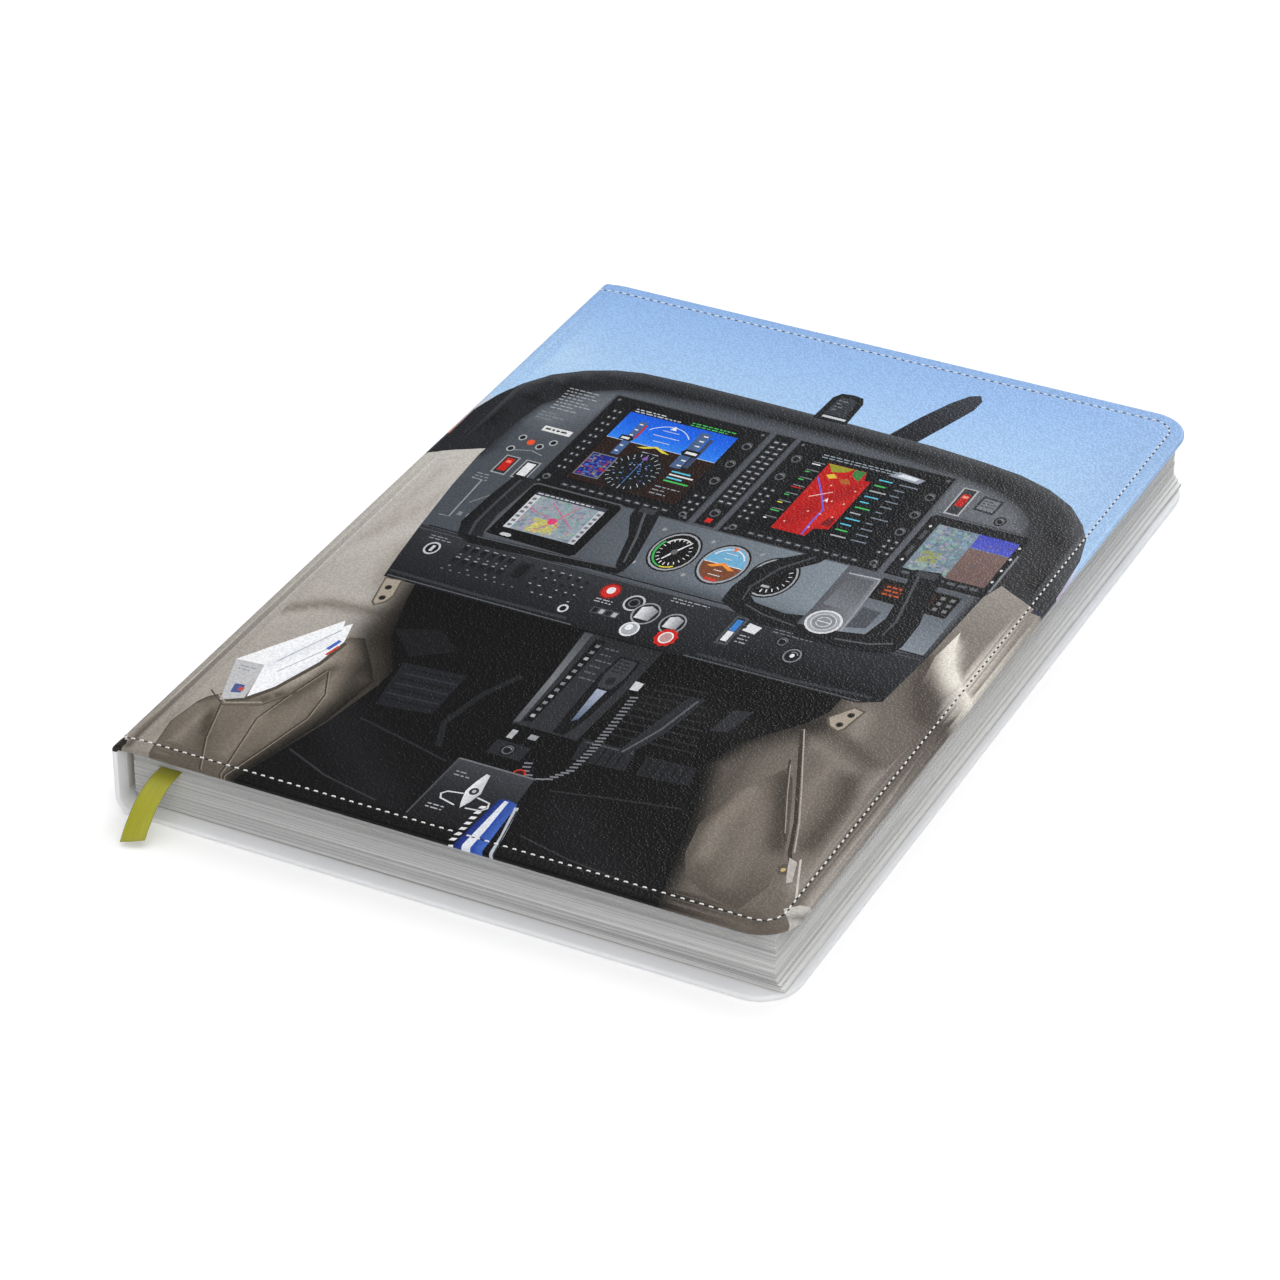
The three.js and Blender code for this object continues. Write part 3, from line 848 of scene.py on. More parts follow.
    paint(edge + fade, lit)
    pocket = [(124.4, 52), (121.4, 46), (118.4, 38), (117.2, 27), (119, 17), (122.6, 10), (129, 6.4),
              (136, 5), (138, 14), (136.6, 24), (134, 32), (130, 42), (127, 49)]
    pouch = ramp([(5, (84, 77, 70)), (20, (112, 104, 95)), (36, (118, 109, 100)), (54, (104, 96, 88))])
    bulge = soft(pouch, [
        ([(121.6, 42), (120.6, 30), (122.6, 18)], 2.2, (146, 137, 127), 0.6),
        ([(126, 38), (129, 24), (130, 12)], 2.6, (134, 125, 115), 0.5),
        ([(118.4, 38), (117.6, 27), (119.6, 17)], 1.1, (76, 69, 62), 0.7),
        ([(125, 50), (129.6, 38), (134, 27)], 2.3, (66, 59, 53), 0.8)])
    paint(pocket, bulge)
    line([(121, 66), (124.4, 58), (129, 47), (133.6, 36), (137, 26), (139, 22)], 0.8, (62, 56, 50))
    line([(121.6, 66), (125.2, 57.6), (129.8, 47), (134.4, 36), (137.8, 26.4)], 0.3, (178, 170, 160))
    line([(123.6, 55), (126, 48), (130, 38), (134.6, 29)], 0.5, (74, 66, 59))
    line([(124.4, 53.4), (128.4, 43.4), (133.4, 31.6)], 0.22, (160, 151, 141))
    ellipse(138.4, 20.6, 1.5, 2.0, (92, 86, 80), 12)
    paint([(137.6, 24.6), (139.6, 23.8), (141.4, 17.6), (140.6, 16.6), (139.2, 20)], (188, 183, 176))
    line([(139.8, 25), (142.6, 17.6), (144.4, 13)], 0.4, (206, 201, 194))
    ellipse(138.2, 20.4, 0.5, 0.7, (206, 176, 120), 8)
    paint([(143.6, 9), (146, 11.4), (149, 12), (156, 4), (148.6, 2.6)],
          soft((196, 192, 186), [([(145, 6), (149, 9)], 0.9, (110, 108, 104), 0.7)]))
    # footwell
    well = [(26.6, 74), (29, 66)] + LEFT_FOOT + RIGHT_FOOT + [(123.5, 74), (124, 92), (23, 92)]
    hollow = ramp([(-8, (15, 15, 17)), (12, (15, 15, 17)), (30, (13, 13, 15)), (50, (12, 12, 14)),
                   (66, (11, 11, 12)), (80, (8, 8, 9))])
    paint(well, soft(hollow, [([(34, 30), (46, 18), (58, 8)], 6.0, (34, 34, 37), 0.6),
                              ([(92, 20), (100, 10), (112, 2)], 6.0, (32, 32, 35), 0.6),
                              ([(86, 60), (100, 62), (112, 60)], 5.0, (28, 28, 30), 0.6)]))


def panel_and_shield():
    """The glareshield's arch, the propeller beyond it and the panel that it holds."""
    paint([(89, 180), (92.3, 190.6), (96, 200), (98.5, 204.5), (100.7, 205.8), (102, 203.5),
           (101.8, 199), (98.8, 189), (95.8, 179.5)], ramp([(180, (28, 31, 38)), (206, (58, 62, 70))]))
    outer = [(1.5, 132), (1.2, 150), (3, 158), (6, 165), (10, 171.5), (16, 176.5), (22, 179.6),
             (28, 181.2), (40, 181.8), (60, 181.6), (80, 181.2), (100, 180.4), (113, 179), (122, 177.5),
             (130, 174.6), (137, 170), (142, 164), (145, 158.5), (147, 150), (147.8, 140),
             (148.4, 126.5), (146, 127.8), (136, 133.5), (132, 120), (30, 120), (14, 133), (12, 135.5),
             (0, 128)]
    rim = outer[1:20]
    shield = soft(across(20, (38, 39, 43), 140, (52, 53, 56)), [
        (rim[2:], 1.6, (104, 108, 114), 0.62),
        ([(p[0] * 0.93 + 5.2, p[1] - 5.0) for p in rim], 1.2, (14, 14, 16), 0.7),
        ([(136, 134), (144, 150)], 4.0, (48, 44, 46), 0.5),
    ])
    paint([(-9, 127), (-3, 127.6), (2.6, 130.4), (4, 137), (2.6, 139), (-9, 138)], (34, 36, 58))
    paint([(-9, 137.4), (2.8, 138.6), (2.6, 150), (4, 158), (-9, 158)],
          ramp([(138, (176, 104, 92)), (143, (236, 176, 146)), (152, (216, 214, 224)),
                (158, (186, 212, 240))]))
    paint([(145.4, 126.4), (158, 124), (158, 134), (146.2, 134.6)], (52, 54, 74))
    paint([(146.2, 134.4), (158, 134), (158, 147), (147, 147)],
          ramp([(134, (196, 176, 206)), (140, (214, 204, 226)), (147, (186, 208, 236))]))
    paint(outer, shield)
    # compass
    paint([(70.8, 180.2), (71.2, 190.5), (72.4, 192.8), (75, 193.3), (77.6, 192.8), (78.6, 190.4),
           (78.9, 180.2)], (26, 28, 32))
    paint([(72.3, 183), (72.6, 190.6), (75, 192), (77.1, 190.6), (77.5, 183)], (52, 56, 62))
    bars(73, 185.4, 77, 190.4, 1.4, 0.35, (132, 136, 142))
    rect(72.4, 181.5, 78, 182.4, (206, 210, 214))
    inner = [(12, 133), (13, 150), (14, 158), (17, 164), (22, 169), (27, 172), (35, 174.5),
             (48, 175.8), (60, 175.7), (80, 175), (100, 173), (110, 171.7), (120, 169), (127, 165),
             (131.5, 160), (133.4, 153), (134.5, 133), (133, 100), (131.5, 82), (127, 79.4),
             (18, 79), (16.6, 88), (15, 100), (13, 118)]
    face = soft(across(13, (74, 79, 87), 133, (96, 99, 106)), [
        (inner[:18], 1.3, (26, 27, 30), 0.75),
        ([(112, 163), (126, 160)], 7.0, (118, 121, 127), 0.6),
        ([(18, 154), (27, 166)], 6.0, (112, 119, 128), 0.75),
    ])
    paint(inner, face)
    low = [(15, 101), (50, 100), (90, 99.5), (110, 99), (133, 101), (131.5, 82), (127, 79.4), (18, 79),
           (16.6, 88)]
    paint(low, soft(ramp([(79, (26, 27, 30)), (88, (38, 39, 44)), (100, (46, 48, 53))]),
                    [([(20, 98), (60, 98)], 3.0, (62, 64, 69), 0.4),
                     ([(100, 86), (128, 84)], 3.0, (20, 21, 24), 0.6)]))
    slate = soft(across(52, (88, 94, 102), 104, (132, 142, 152)),
                 [([(52, 102), (104, 102)], 2.6, (64, 69, 76), 0.7)])
    rect(50.5, 101.5, 104, 126.5, slate)
    rect(113, 101.5, 132, 126.5, ramp([(101, (132, 141, 151)), (127, (84, 89, 97))]))
    line([(16.5, 101.4), (50, 101.2), (104, 101), (132.5, 101.2)], 0.45, (16, 17, 19))
    line([(15.2, 99.7), (50, 99.5), (104, 99.4), (132, 99.7)], 0.3, (84, 87, 92))


def bezel_screws(x0, y0, x1, y1):
    for x in (x0 + 1.1, x1 - 1.1):
        for y in (y0 + 1.6, y1 - 1.6):
            ellipse(x, y, 0.4, 0.6, GREY, 8)


def left_display():
    rect(27.2, 126.6, 65.9, 170.1, (74, 77, 83))
    rect(27.7, 127.1, 65.4, 169.6, CASE)
    rect(32.9, 131.8, 60.6, 167.1, BLACK)
    rect(33.5, 132.5, 60, 166.5, (40, 25, 21))
    rect(33.5, 152.2, 60, 164.3,
         ramp([(152, (52, 134, 240)), (158, (24, 106, 234)), (164, (16, 92, 222))]))
    rect(33.5, 164.4, 60, 166.5, (16, 18, 24))
    bars(34.2, 164.5, 46, 166.4, 0.95, 0.4, (200, 206, 214), 0.6)
    bars(48, 164.5, 59.6, 166.4, 0.95, 0.4, GREEN, 0.6)
    line([(33.5, 152.3), (60, 152.3)], 0.2, (206, 216, 230))
    for y, half in ((155, 2.0), (157.5, 3.2), (160, 2.0), (149.5, 2.0), (147.2, 3.2)):
        line([(45.6 - half, y), (45.6 + half, y)], 0.22, (214, 224, 236))
    arc(45.6, 153, 6.4, 9.2, 40, 140, 0.25, (222, 230, 240), 14)
    paint([(45.6, 162.8), (44.8, 161), (46.4, 161)], WHITE_INK)
    paint([(45.6, 153), (41.6, 150.9), (43.4, 150.9), (45.6, 152.2)], YELLOW)
    paint([(45.6, 153), (49.6, 150.9), (47.8, 150.9), (45.6, 152.2)], YELLOW)
    rect(37.5, 146, 39.4, 161.5, (72, 100, 148))
    rect(39.3, 154, 39.75, 160.4, RED)
    for k in range(6):
        rect(37.8, 147.4 + k * 2.5, 38.6, 147.9 + k * 2.5, WHITE_INK)
    paint([(36.2, 152.4), (38.9, 152.4), (39.5, 153.4), (38.9, 154.6), (36.2, 154.6)], BLACK)
    rect(36.6, 153, 38.5, 153.9, WHITE_INK)
    rect(51.7, 146.5, 54.3, 163, (72, 98, 140))
    rect(54.6, 147.5, 55.7, 161, (58, 74, 106))
    for k in range(7):
        rect(52.9, 147.6 + k * 2.3, 54, 148.1 + k * 2.3, WHITE_INK)
    paint([(51.2, 153.5), (52, 152.2), (55.4, 152.2), (55.4, 155), (52, 155)], BLACK)
    rect(52.3, 153.1, 55, 154.1, WHITE_INK)
    # compass rose with its card
    ellipse(45.6, 141, 6.2, 8.6, (24, 26, 30), 28)
    arc(45.6, 141, 5.7, 7.9, 0, 360, 0.22, (168, 174, 182), 28)
    for k in range(24):
        spoke(45.6, 141, 5.6, 7.8, math.radians(k * 15), 0.86 if k % 3 else 0.78, 0.16, (206, 210, 214))
    line([(45.6, 135.4), (45.6, 146.6)], 0.2, (72, 120, 176))
    paint([(45.6, 148.6), (44.9, 146.6), (46.3, 146.6)], (132, 96, 176))
    for _ in range(34):
        a, reach = rng.uniform(0, 2 * math.pi), rng.uniform(0.15, 0.82)
        x, y = 45.6 + 5.6 * reach * math.cos(a), 141 + 7.8 * reach * math.sin(a)
        rect(x, y, x + 0.4, y + 0.4, rng.choice([(70, 132, 190), (150, 170, 190), (96, 88, 168)]))
    # inset map
    rect(34.0, 134.6, 40.1, 144.9, (120, 124, 130))
    rect(34.3, 134.9, 39.8, 144.6, (30, 36, 130))
    for k in range(90):
        x, y = rng.uniform(34.3, 39.2), rng.uniform(134.9, 142.6 if k % 4 else 144.0)
        tones = [(176, 46, 44), (150, 134, 96), (66, 96, 176), (64, 110, 190), (92, 62, 116),
                 (84, 110, 110)]
        rect(x, y, x + rng.uniform(0.3, 0.9), y + rng.uniform(0.3, 0.9), rng.choice(tones))
    for y, tone in ((145, CYAN), (143.6, WHITE_INK), (142.2, CYAN), (140.8, GREEN)):
        rect(53.2, y - 0.3, 53.2 + rng.uniform(3.5, 6), y + 0.3, tone)
    bars(52.6, 133.4, 59.6, 138.6, 1.5, 0.4, (150, 156, 164))
    key_row(34, 128.9, 130.1, 129.3, (150, 153, 158))
    grid(30.1, 136, 31.4, 163, 2, 10, 0.42, 0.62, (66, 68, 73))
    grid(30.1, 136, 31.4, 163, 2, 10, 0.2, 0.26, (176, 178, 182))
    for y in (138, 135, 132.4):
        key_pair(62.4, 64.2, y, 0.6, 0.28)
    for y in (162, 153.5, 145.5):
        knob(63.3, y, 1.1, 1.7)
    knob(63.3, 129.8, 0.9, 1.2)
    knob(29.6, 131, 0.9, 1.3)
    bezel_screws(27.7, 127.1, 65.4, 169.6)


def audio_column():
    rect(66.7, 127.2, 71.9, 170.2, (72, 75, 81))
    rect(67, 127.6, 71.6, 169.8, CASE)
    for k in range(13):
        y = 166.4 - k * 2.35
        for x in (68.35, 70.3):
            rect(x - 0.72, y - 0.72, x + 0.72, y + 0.72, (60, 62, 68))
            rect(x - 0.45, y - 0.16, x + 0.45, y + 0.24, (188, 190, 194))
    knob(69.3, 133.3, 1.15, 1.7)
    rect(68.7, 129.0, 70.1, 130.8, (214, 40, 30))


def right_display():
    rect(72.6, 126.6, 110.5, 170.1, (78, 81, 87))
    rect(73, 127, 110.1, 169.7, CASE)
    rect(78, 131.4, 105.9, 167.6, BLACK)
    rect(78.5, 132, 105.3, 167, (15, 17, 22))
    bars(80, 164.8, 104, 166.8, 1.0, 0.4, (150, 160, 172), 0.7)
    paint([(82.5, 133.3), (90.5, 133.3), (91, 137), (94, 138), (94, 160), (92.5, 160),
           (91.5, 163.5), (82.5, 163.5)], soft((190, 24, 22), [
               ([(84, 136), (88, 146), (92, 156)], 2.6, (158, 14, 18), 0.7),
               ([(90, 140), (92, 148)], 2.0, (214, 44, 34), 0.6)]))
    for points, tone in (
        ([(82.6, 163.4), (84.6, 160.2), (87.4, 161.4), (88.6, 163.4)], (150, 150, 46)),
        ([(88.8, 163.4), (89.2, 160.8), (91.4, 159), (91.5, 163.4)], (58, 128, 62)),
        ([(84, 158.6), (85.4, 159.8), (86.8, 158.4), (85.2, 157.4)], (222, 190, 60)),
        ([(87.4, 158), (89, 159.2), (90.4, 157.2), (88.6, 156.4)], (178, 96, 40)),
        ([(91.4, 139), (93.6, 139), (93.6, 143), (92, 142)], (120, 20, 24)),
    ):
        paint(points, tone)
    line([(82.8, 157), (86.4, 151), (89.5, 145), (89.4, 139), (89.6, 133.6)], 0.42, (112, 96, 214))
    line([(84.4, 148.6), (88.4, 152.6)], 0.28, (238, 200, 196))
    paint([(87.9, 148), (88.5, 149.9), (89.1, 148), (88.5, 148.5)], WHITE_INK)
    grid(84, 137, 92.6, 155, 4, 4, 0.2, 0.26, (240, 190, 176), 0.7)
    for k, tone in enumerate((WHITE_INK, GREEN, GREEN, RED, GREEN, YELLOW, GREEN, WHITE_INK)):
        y = 162.4 - k * 3.6
        rect(79.2, y, 82, y + 0.35, (128, 132, 138))
        rect(79.2, y - 0.9, 79.2 + rng.uniform(0.8, 2.4), y - 0.45, tone)
    for k in range(11):
        y = 161.6 - k * 2.55
        tone = (CYAN, GREEN, LIGHT, CYAN)[k % 4]
        rect(95.2, y, 95.2 + rng.uniform(2, 4.2), y + 0.5, tone)
        rect(100, y, 100 + rng.uniform(1.4, 4.4), y + 0.5, (118, 128, 140))
    paint([(96.4, 164.4), (103.6, 163.8), (104.4, 166), (98, 166.9)], (150, 158, 170))
    paint([(98, 165), (102.6, 164.6), (103, 166), (99, 166.4)], (222, 228, 236))
    key_row(79, 128.5, 129.8, 129, (148, 151, 156))
    for y in (162, 153.5):
        knob(75.3, y, 1.1, 1.7)
    for y in (160, 151.8, 144):
        knob(108.1, y, 1.1, 1.7)
    knob(75.2, 129.8, 0.9, 1.3)
    knob(108.2, 130, 0.9, 1.3)
    for y in (147.4, 144.8, 142.2, 139.6, 137, 134.4):
        key_pair(74.6, 76.4, y, 0.62, 0.26)
        if y < 141:
            key_pair(107.4, 109.2, y, 0.62, 0.26)
    bezel_screws(73, 127, 110.1, 169.7)


def side_switches():
    """Small switches and placards left of the left display and right of the right one."""
    bars(16.4, 158, 26, 168.4, 1.35, 0.45, (158, 161, 166), 0.5)
    bars(15.4, 152, 25.6, 156.4, 1.35, 0.45, (132, 135, 140), 0.3)
    rect(19.3, 148.1, 26.2, 150.4, (224, 225, 226))
    bars(19.9, 148.5, 25.8, 150.0, 1.4, 0.7, (44, 46, 50), 0.9)
    for x, y in ((17.2, 143.4), (22.4, 141.4), (17.0, 138.0), (24.4, 144.2)):
        ring(x, y, 0.9, 1.3, 0.3, LIGHT, CASE)
    ellipse(19.8, 142.3, 0.85, 1.2, (236, 84, 40))
    line([(17.6, 137.6), (21.5, 139.2), (24.6, 138.2)], 0.3, (150, 152, 156))
    for x0, x1, body, mark in ((17.6, 21.1, RED, (250, 120, 100)),
                               (22.5, 26.2, (226, 227, 229), WHITE_INK)):
        rect(x0, 127.1, x1, 135.3, (158, 160, 164))
        rect(x0 + 0.35, 127.6, x1 - 0.35, 134.9, (46, 47, 51))
        rect(x0 + 0.8, 128.6, x1 - 0.8, 134.2, body)
        rect(x0 + 1.2, 132.2, x1 - 1.2, 133.3, mark)
    bars(15.4, 122.6, 20.4, 126.2, 1.2, 0.4, (140, 142, 146), 0.4)
    line([(15.2, 123.4), (17.8, 123), (18.6, 106.6), (16.2, 106.4)], 0.36, (150, 152, 157))
    line([(19.8, 113.6), (22.8, 118.8)], 0.45, (118, 120, 125))
    grid(20.2, 108.6, 26.6, 108.6, 4, 1, 0.5, 0.8, (132, 134, 139))
    # guarded switch and placard on the right
    rect(113.1, 155.3, 116.7, 167.2, (176, 178, 182))
    rect(113.5, 155.8, 116.3, 166.8, (54, 56, 60))
    rect(114, 159.2, 115.9, 164.6, (190, 32, 26))
    rect(114.3, 162.9, 115.6, 163.9, (240, 150, 130))
    paint([(118.2, 159.4), (123.2, 159), (123.4, 165.2), (118.4, 165.8)], (52, 54, 58))
    paint([(118.8, 160.2), (122.6, 159.9), (122.8, 164.6), (119, 165)], (118, 121, 127))
    bars(119.2, 160.8, 122.4, 164.4, 1.1, 0.4, (66, 68, 73), 0.6)
    knob(125.6, 157.4, 1.0, 1.5)
    line([(112.6, 154.6), (131.5, 154.4)], 0.3, (58, 60, 65))


def tablets():
    """A large one on the right and a smaller one on the left, each with a generic moving map."""
    paint([(111.6, 127.2), (133.9, 127.2), (134.2, 129), (134.2, 152), (133.6, 153.7), (112.2, 153.9),
           (111.5, 152.6)], (20, 21, 24))
    paint([(112.2, 127.8), (133.5, 127.8), (133.5, 153.1), (112.2, 153.3)], (30, 31, 35))
    rect(114.3, 131, 133, 150.6, (120, 138, 150))
    chart(114.3, 131, 123.7, 150.6, 230, 1.3, [
        (132, 158, 178), (150, 172, 164), (112, 134, 158), (158, 150, 166), (126, 168, 150),
        (104, 120, 136)])
    chart(115.6, 134.6, 119.6, 139.8, 60, 1.1, [(168, 164, 84), (150, 152, 96), (136, 148, 110)])
    rect(123.9, 144.7, 133, 150.6, ramp([(144, (84, 92, 196)), (151, (68, 76, 186))]))
    rect(123.9, 131, 133, 144.5, ramp([(131, (112, 90, 86)), (144, (122, 98, 94))]))
    chart(124, 131.2, 132.4, 150, 46, 0.5, [(104, 84, 88), (132, 106, 100), (96, 100, 110)])
    for x in (113.0, 133.6):
        for y in (134, 139, 144, 149):
            ellipse(x, y, 0.34, 0.5, (214, 216, 220), 8)
    line([(134.6, 130), (134.6, 146)], 0.5, (128, 131, 137))
    for k in range(7):
        rect(114.8 + k * 2.6, 129, 116.6 + k * 2.6, 130, (92, 95, 100))
    rect(112.5, 136, 113.4, 140, (74, 76, 81))
    rect(112.5, 143, 113.4, 147, (74, 76, 81))
    # left tablet
    paint([(28.2, 103.6), (49.5, 102.9), (50.7, 104), (51, 125.8), (50, 127.4), (29.4, 127.6),
           (28.3, 126.3)], (86, 88, 93))
    paint([(28.8, 104.2), (49.2, 103.5), (50.2, 104.4), (50.5, 125.6), (49.7, 126.8), (29.7, 127),
           (28.9, 126)], (16, 17, 19))
    rect(31, 108, 48, 124.4, (146, 160, 170))
    chart(31.6, 108.2, 46.4, 122.8, 420, 1.2, [
        (148, 164, 180), (126, 164, 156), (164, 160, 178), (172, 148, 160), (134, 142, 164),
        (154, 172, 160), (126, 134, 148)])
    chart(35.4, 108.4, 41.6, 114.4, 130, 1.0, [
        (206, 198, 96), (190, 184, 108), (214, 206, 120), (176, 176, 120)])
    for points in ([(32.6, 117.4), (38, 115.4), (42, 112.6)], [(37.4, 109), (39.8, 114), (42.6, 122.6)],
                   [(36, 121.6), (44.6, 113.4)]):
        line(points, 0.24, (212, 86, 128))
    ellipse(39.6, 114.4, 1.0, 1.4, (222, 66, 120), 10)
    rect(31, 122.9, 48, 124.4, (62, 66, 74))
    bars(31.4, 123.0, 47.6, 124.3, 1.2, 0.45, (200, 204, 210), 0.8)
    rect(31, 108, 32.6, 122.8, (206, 208, 212))
    rect(46.6, 108, 48, 122.8, (196, 198, 204))
    grid(31.8, 109.4, 31.8, 121.2, 1, 7, 0.45, 0.5, (112, 116, 124))
    grid(47.3, 109.4, 47.3, 121.2, 1, 7, 0.42, 0.5, (112, 116, 124))
    paint([(31.7, 105.1), (32.2, 104.7), (34, 104.7), (34.5, 105.2), (34, 106), (32.2, 106)], SILVER)


def chart(x0, y0, x1, y1, count, size, tones):
    """A patchwork of small marks, like a moving map seen from afar."""
    for _ in range(count):
        x, y = rng.uniform(x0, x1), rng.uniform(y0, y1)
        wide, tall = rng.uniform(0.25, size), rng.uniform(0.3, size * 1.2)
        rect(x, y, min(x + wide, x1), min(y + tall, y1), rng.choice(tones))


def dial(x, y, face):
    ellipse(x, y, 5.35, 8.55, (28, 29, 32), 28)
    ring(x, y, 4.95, 7.95, 0.38, (166, 169, 174), face)


def spoke(x, y, rx, ry, angle, start, width, colour):
    """A mark on a dial, from the share start of the way out to the ellipse of rx and ry."""
    c, s = math.cos(angle), math.sin(angle)
    line([(x + rx * start * c, y + ry * start * s), (x + rx * c, y + ry * s)], width, colour)


def ticks(x, y, rx, ry, count=20):
    for k in range(count):
        spoke(x, y, rx, ry, 2 * math.pi * k / count, 0.8, 0.24, WHITE_INK)


def standby_dials():
    dial(68.5, 115, BLACK)
    arc(68.5, 115, 4.0, 6.5, 150, 265, 0.5, (62, 176, 84), 12)
    arc(68.5, 115, 4.0, 6.5, 265, 305, 0.5, YELLOW, 8)
    arc(68.5, 115, 3.4, 5.5, 60, 150, 0.4, (226, 226, 226), 10)
    ticks(68.5, 115, 3.5, 5.7)
    line([(67.2, 111.4), (68.5, 115), (70.6, 120)], [0.3, 0.55, 0.2], WHITE_INK)
    ellipse(68.5, 115, 0.7, 1.1, GREY, 12)
    dial(80, 115, (112, 172, 208))
    lower = [(80 + 4.5 * math.cos(math.radians(a)), 115 + 7.2 * math.sin(math.radians(a)))
             for a in range(180, 361, 12)]
    paint(lower, (122, 72, 48))
    line([(75.6, 115), (84.4, 115)], 0.3, WHITE_INK)
    paint([(80, 115.8), (76.8, 113.6), (78, 113.2), (80, 114.6), (82, 113.2), (83.2, 113.6)],
          (240, 150, 60))
    for y, half in ((117.4, 0.9), (119.6, 1.4), (112.4, 0.9), (110.4, 1.4)):
        line([(80 - half, y), (80 + half, y)], 0.24, WHITE_INK)
    arc(80, 115, 4.0, 6.4, 30, 150, 0.36, (232, 234, 238), 12)
    paint([(80, 120.6), (79.3, 122.2), (80.7, 122.2)], (236, 116, 40))
    rect(78.6, 107.9, 81.4, 109.1, (196, 62, 44))
    dial(91.5, 115, BLACK)
    ticks(91.5, 115, 3.9, 6.3)
    line([(91.5, 115), (88.7, 118.6)], [0.6, 0.2], WHITE_INK)
    line([(91.5, 115), (93.4, 120.4)], [0.6, 0.2], WHITE_INK)
    rect(90.2, 110.4, 92.8, 112, (60, 62, 66))
    rect(90.5, 110.8, 92.5, 111.6, LIGHT)
    for x in (62.6, 74.2, 85.8):
        for y in (122.4, 107.6):
            ellipse(x, y, 0.5, 0.7, (150, 156, 162), 8)
    paint([(112.3, 116.8), (130.4, 116.2), (130.6, 125.2), (112.5, 125.4)], (26, 24, 24))
    rect(114, 119.2, 125.4, 123.8, (58, 34, 28))
    bars(114.6, 119.6, 125, 123.4, 1.5, 0.6, (190, 88, 48), 0.7)
    grid(127, 118.8, 129.2, 123.4, 2, 3, 0.5, 0.6, (120, 122, 127))


def yokes():
    horn = across(22, (20, 21, 23), 30, (46, 47, 51))
    paint([(23.4, 128.6), (28.8, 128.4), (28.4, 122), (27.7, 112), (28.4, 104.4), (29.6, 101.6),
           (27.4, 98.8), (24, 100.4), (22, 106), (22.4, 118)], horn)
    line([(25.4, 127), (25, 117), (25, 107), (26.2, 101.6)], 0.7, (66, 68, 73))
    paint([(24.6, 101.6), (27.4, 98.8), (44, 99.8), (61.6, 101.6), (62.4, 104.2), (50, 103.4),
           (30, 102.4)], (22, 23, 25))
    line([(28, 101.9), (45, 102.6), (60.6, 103.9)], 0.5, (84, 86, 91))
    paint([(53, 128.8), (53.4, 124), (54.6, 121.5), (57, 116), (59.3, 106), (60.4, 103.2), (62.3, 103),
           (62.5, 108), (60.6, 119), (58.9, 127.6), (57, 129.4)], (26, 27, 30))
    line([(55.6, 127.2), (58.6, 117), (60.8, 106.4)], [0.6, 0.6, 0.4], (84, 87, 92))
    rect(54.2, 126.4, 57.8, 128.6, (60, 62, 67))
    # right yoke
    paint([(90, 123), (96.4, 129.4), (99, 128), (97.8, 124.6), (93.4, 119), (90.8, 112),
           (90.2, 106.8), (92.4, 104.6), (99.8, 103.4), (104, 104.6), (104.8, 98), (97, 97.4), (91, 99),
           (85.8, 102), (85.4, 108), (86.8, 117)], (25, 26, 29))
    line([(96.2, 126.6), (91.4, 119), (88.9, 109.6), (89.6, 104.2)], [0.6, 0.6, 0.5, 0.3], (70, 73, 78))
    line([(91, 103), (96, 101), (104, 99.9)], 0.5, (78, 80, 85))
    paint([(103.6, 101), (104.8, 124), (112.4, 124.5), (113.6, 101), (112.2, 97.6), (104.8, 97.6)],
          across(103, (82, 84, 89), 114, (132, 135, 141)))
    paint([(105.4, 110.4), (105.9, 122.8), (111.3, 123.2), (111.9, 110.4)],
          ramp([(110, (122, 125, 131)), (123, (92, 95, 100))]))
    line([(105.2, 123.9), (112.2, 124.4)], 0.5, (176, 179, 184))
    line([(113, 102), (112.3, 124)], 0.35, (152, 155, 160))
    paint([(112.9, 102.2), (118, 103.6), (119.4, 111), (118.6, 119), (117.4, 127), (117.2, 131.4),
           (122.6, 132.4), (123.9, 131), (125, 120), (126.6, 112), (126.8, 102.4), (125.9, 99.4),
           (121.8, 97.4), (114, 96.4), (104.8, 96.3), (103.6, 101)], (27, 28, 31))
    paint([(113.2, 104.2), (117.2, 105.6), (117.6, 112.6), (113.4, 113.2)], (78, 82, 89))
    line([(118.7, 130.4), (120.4, 120), (121.8, 110.8), (121.4, 104.6)], [0.6, 0.6, 0.6, 0.3],
         (78, 81, 86))
    line([(113, 99.2), (120, 100.4), (124.6, 102.8)], 0.6, (86, 89, 94))
    rect(118, 129, 122.6, 131.6, (62, 64, 69))
    ring(108.4, 104, 3.9, 4.7, 0.5, (222, 224, 228), (160, 163, 168))
    ring(108.4, 104, 2.7, 3.3, 0.25, (206, 208, 212), (136, 139, 145))
    arc(108.4, 104, 1.6, 1.9, 200, 520, 0.24, (210, 212, 216), 10)
    line([(106.9, 104), (109.9, 104)], 0.35, (214, 216, 220))


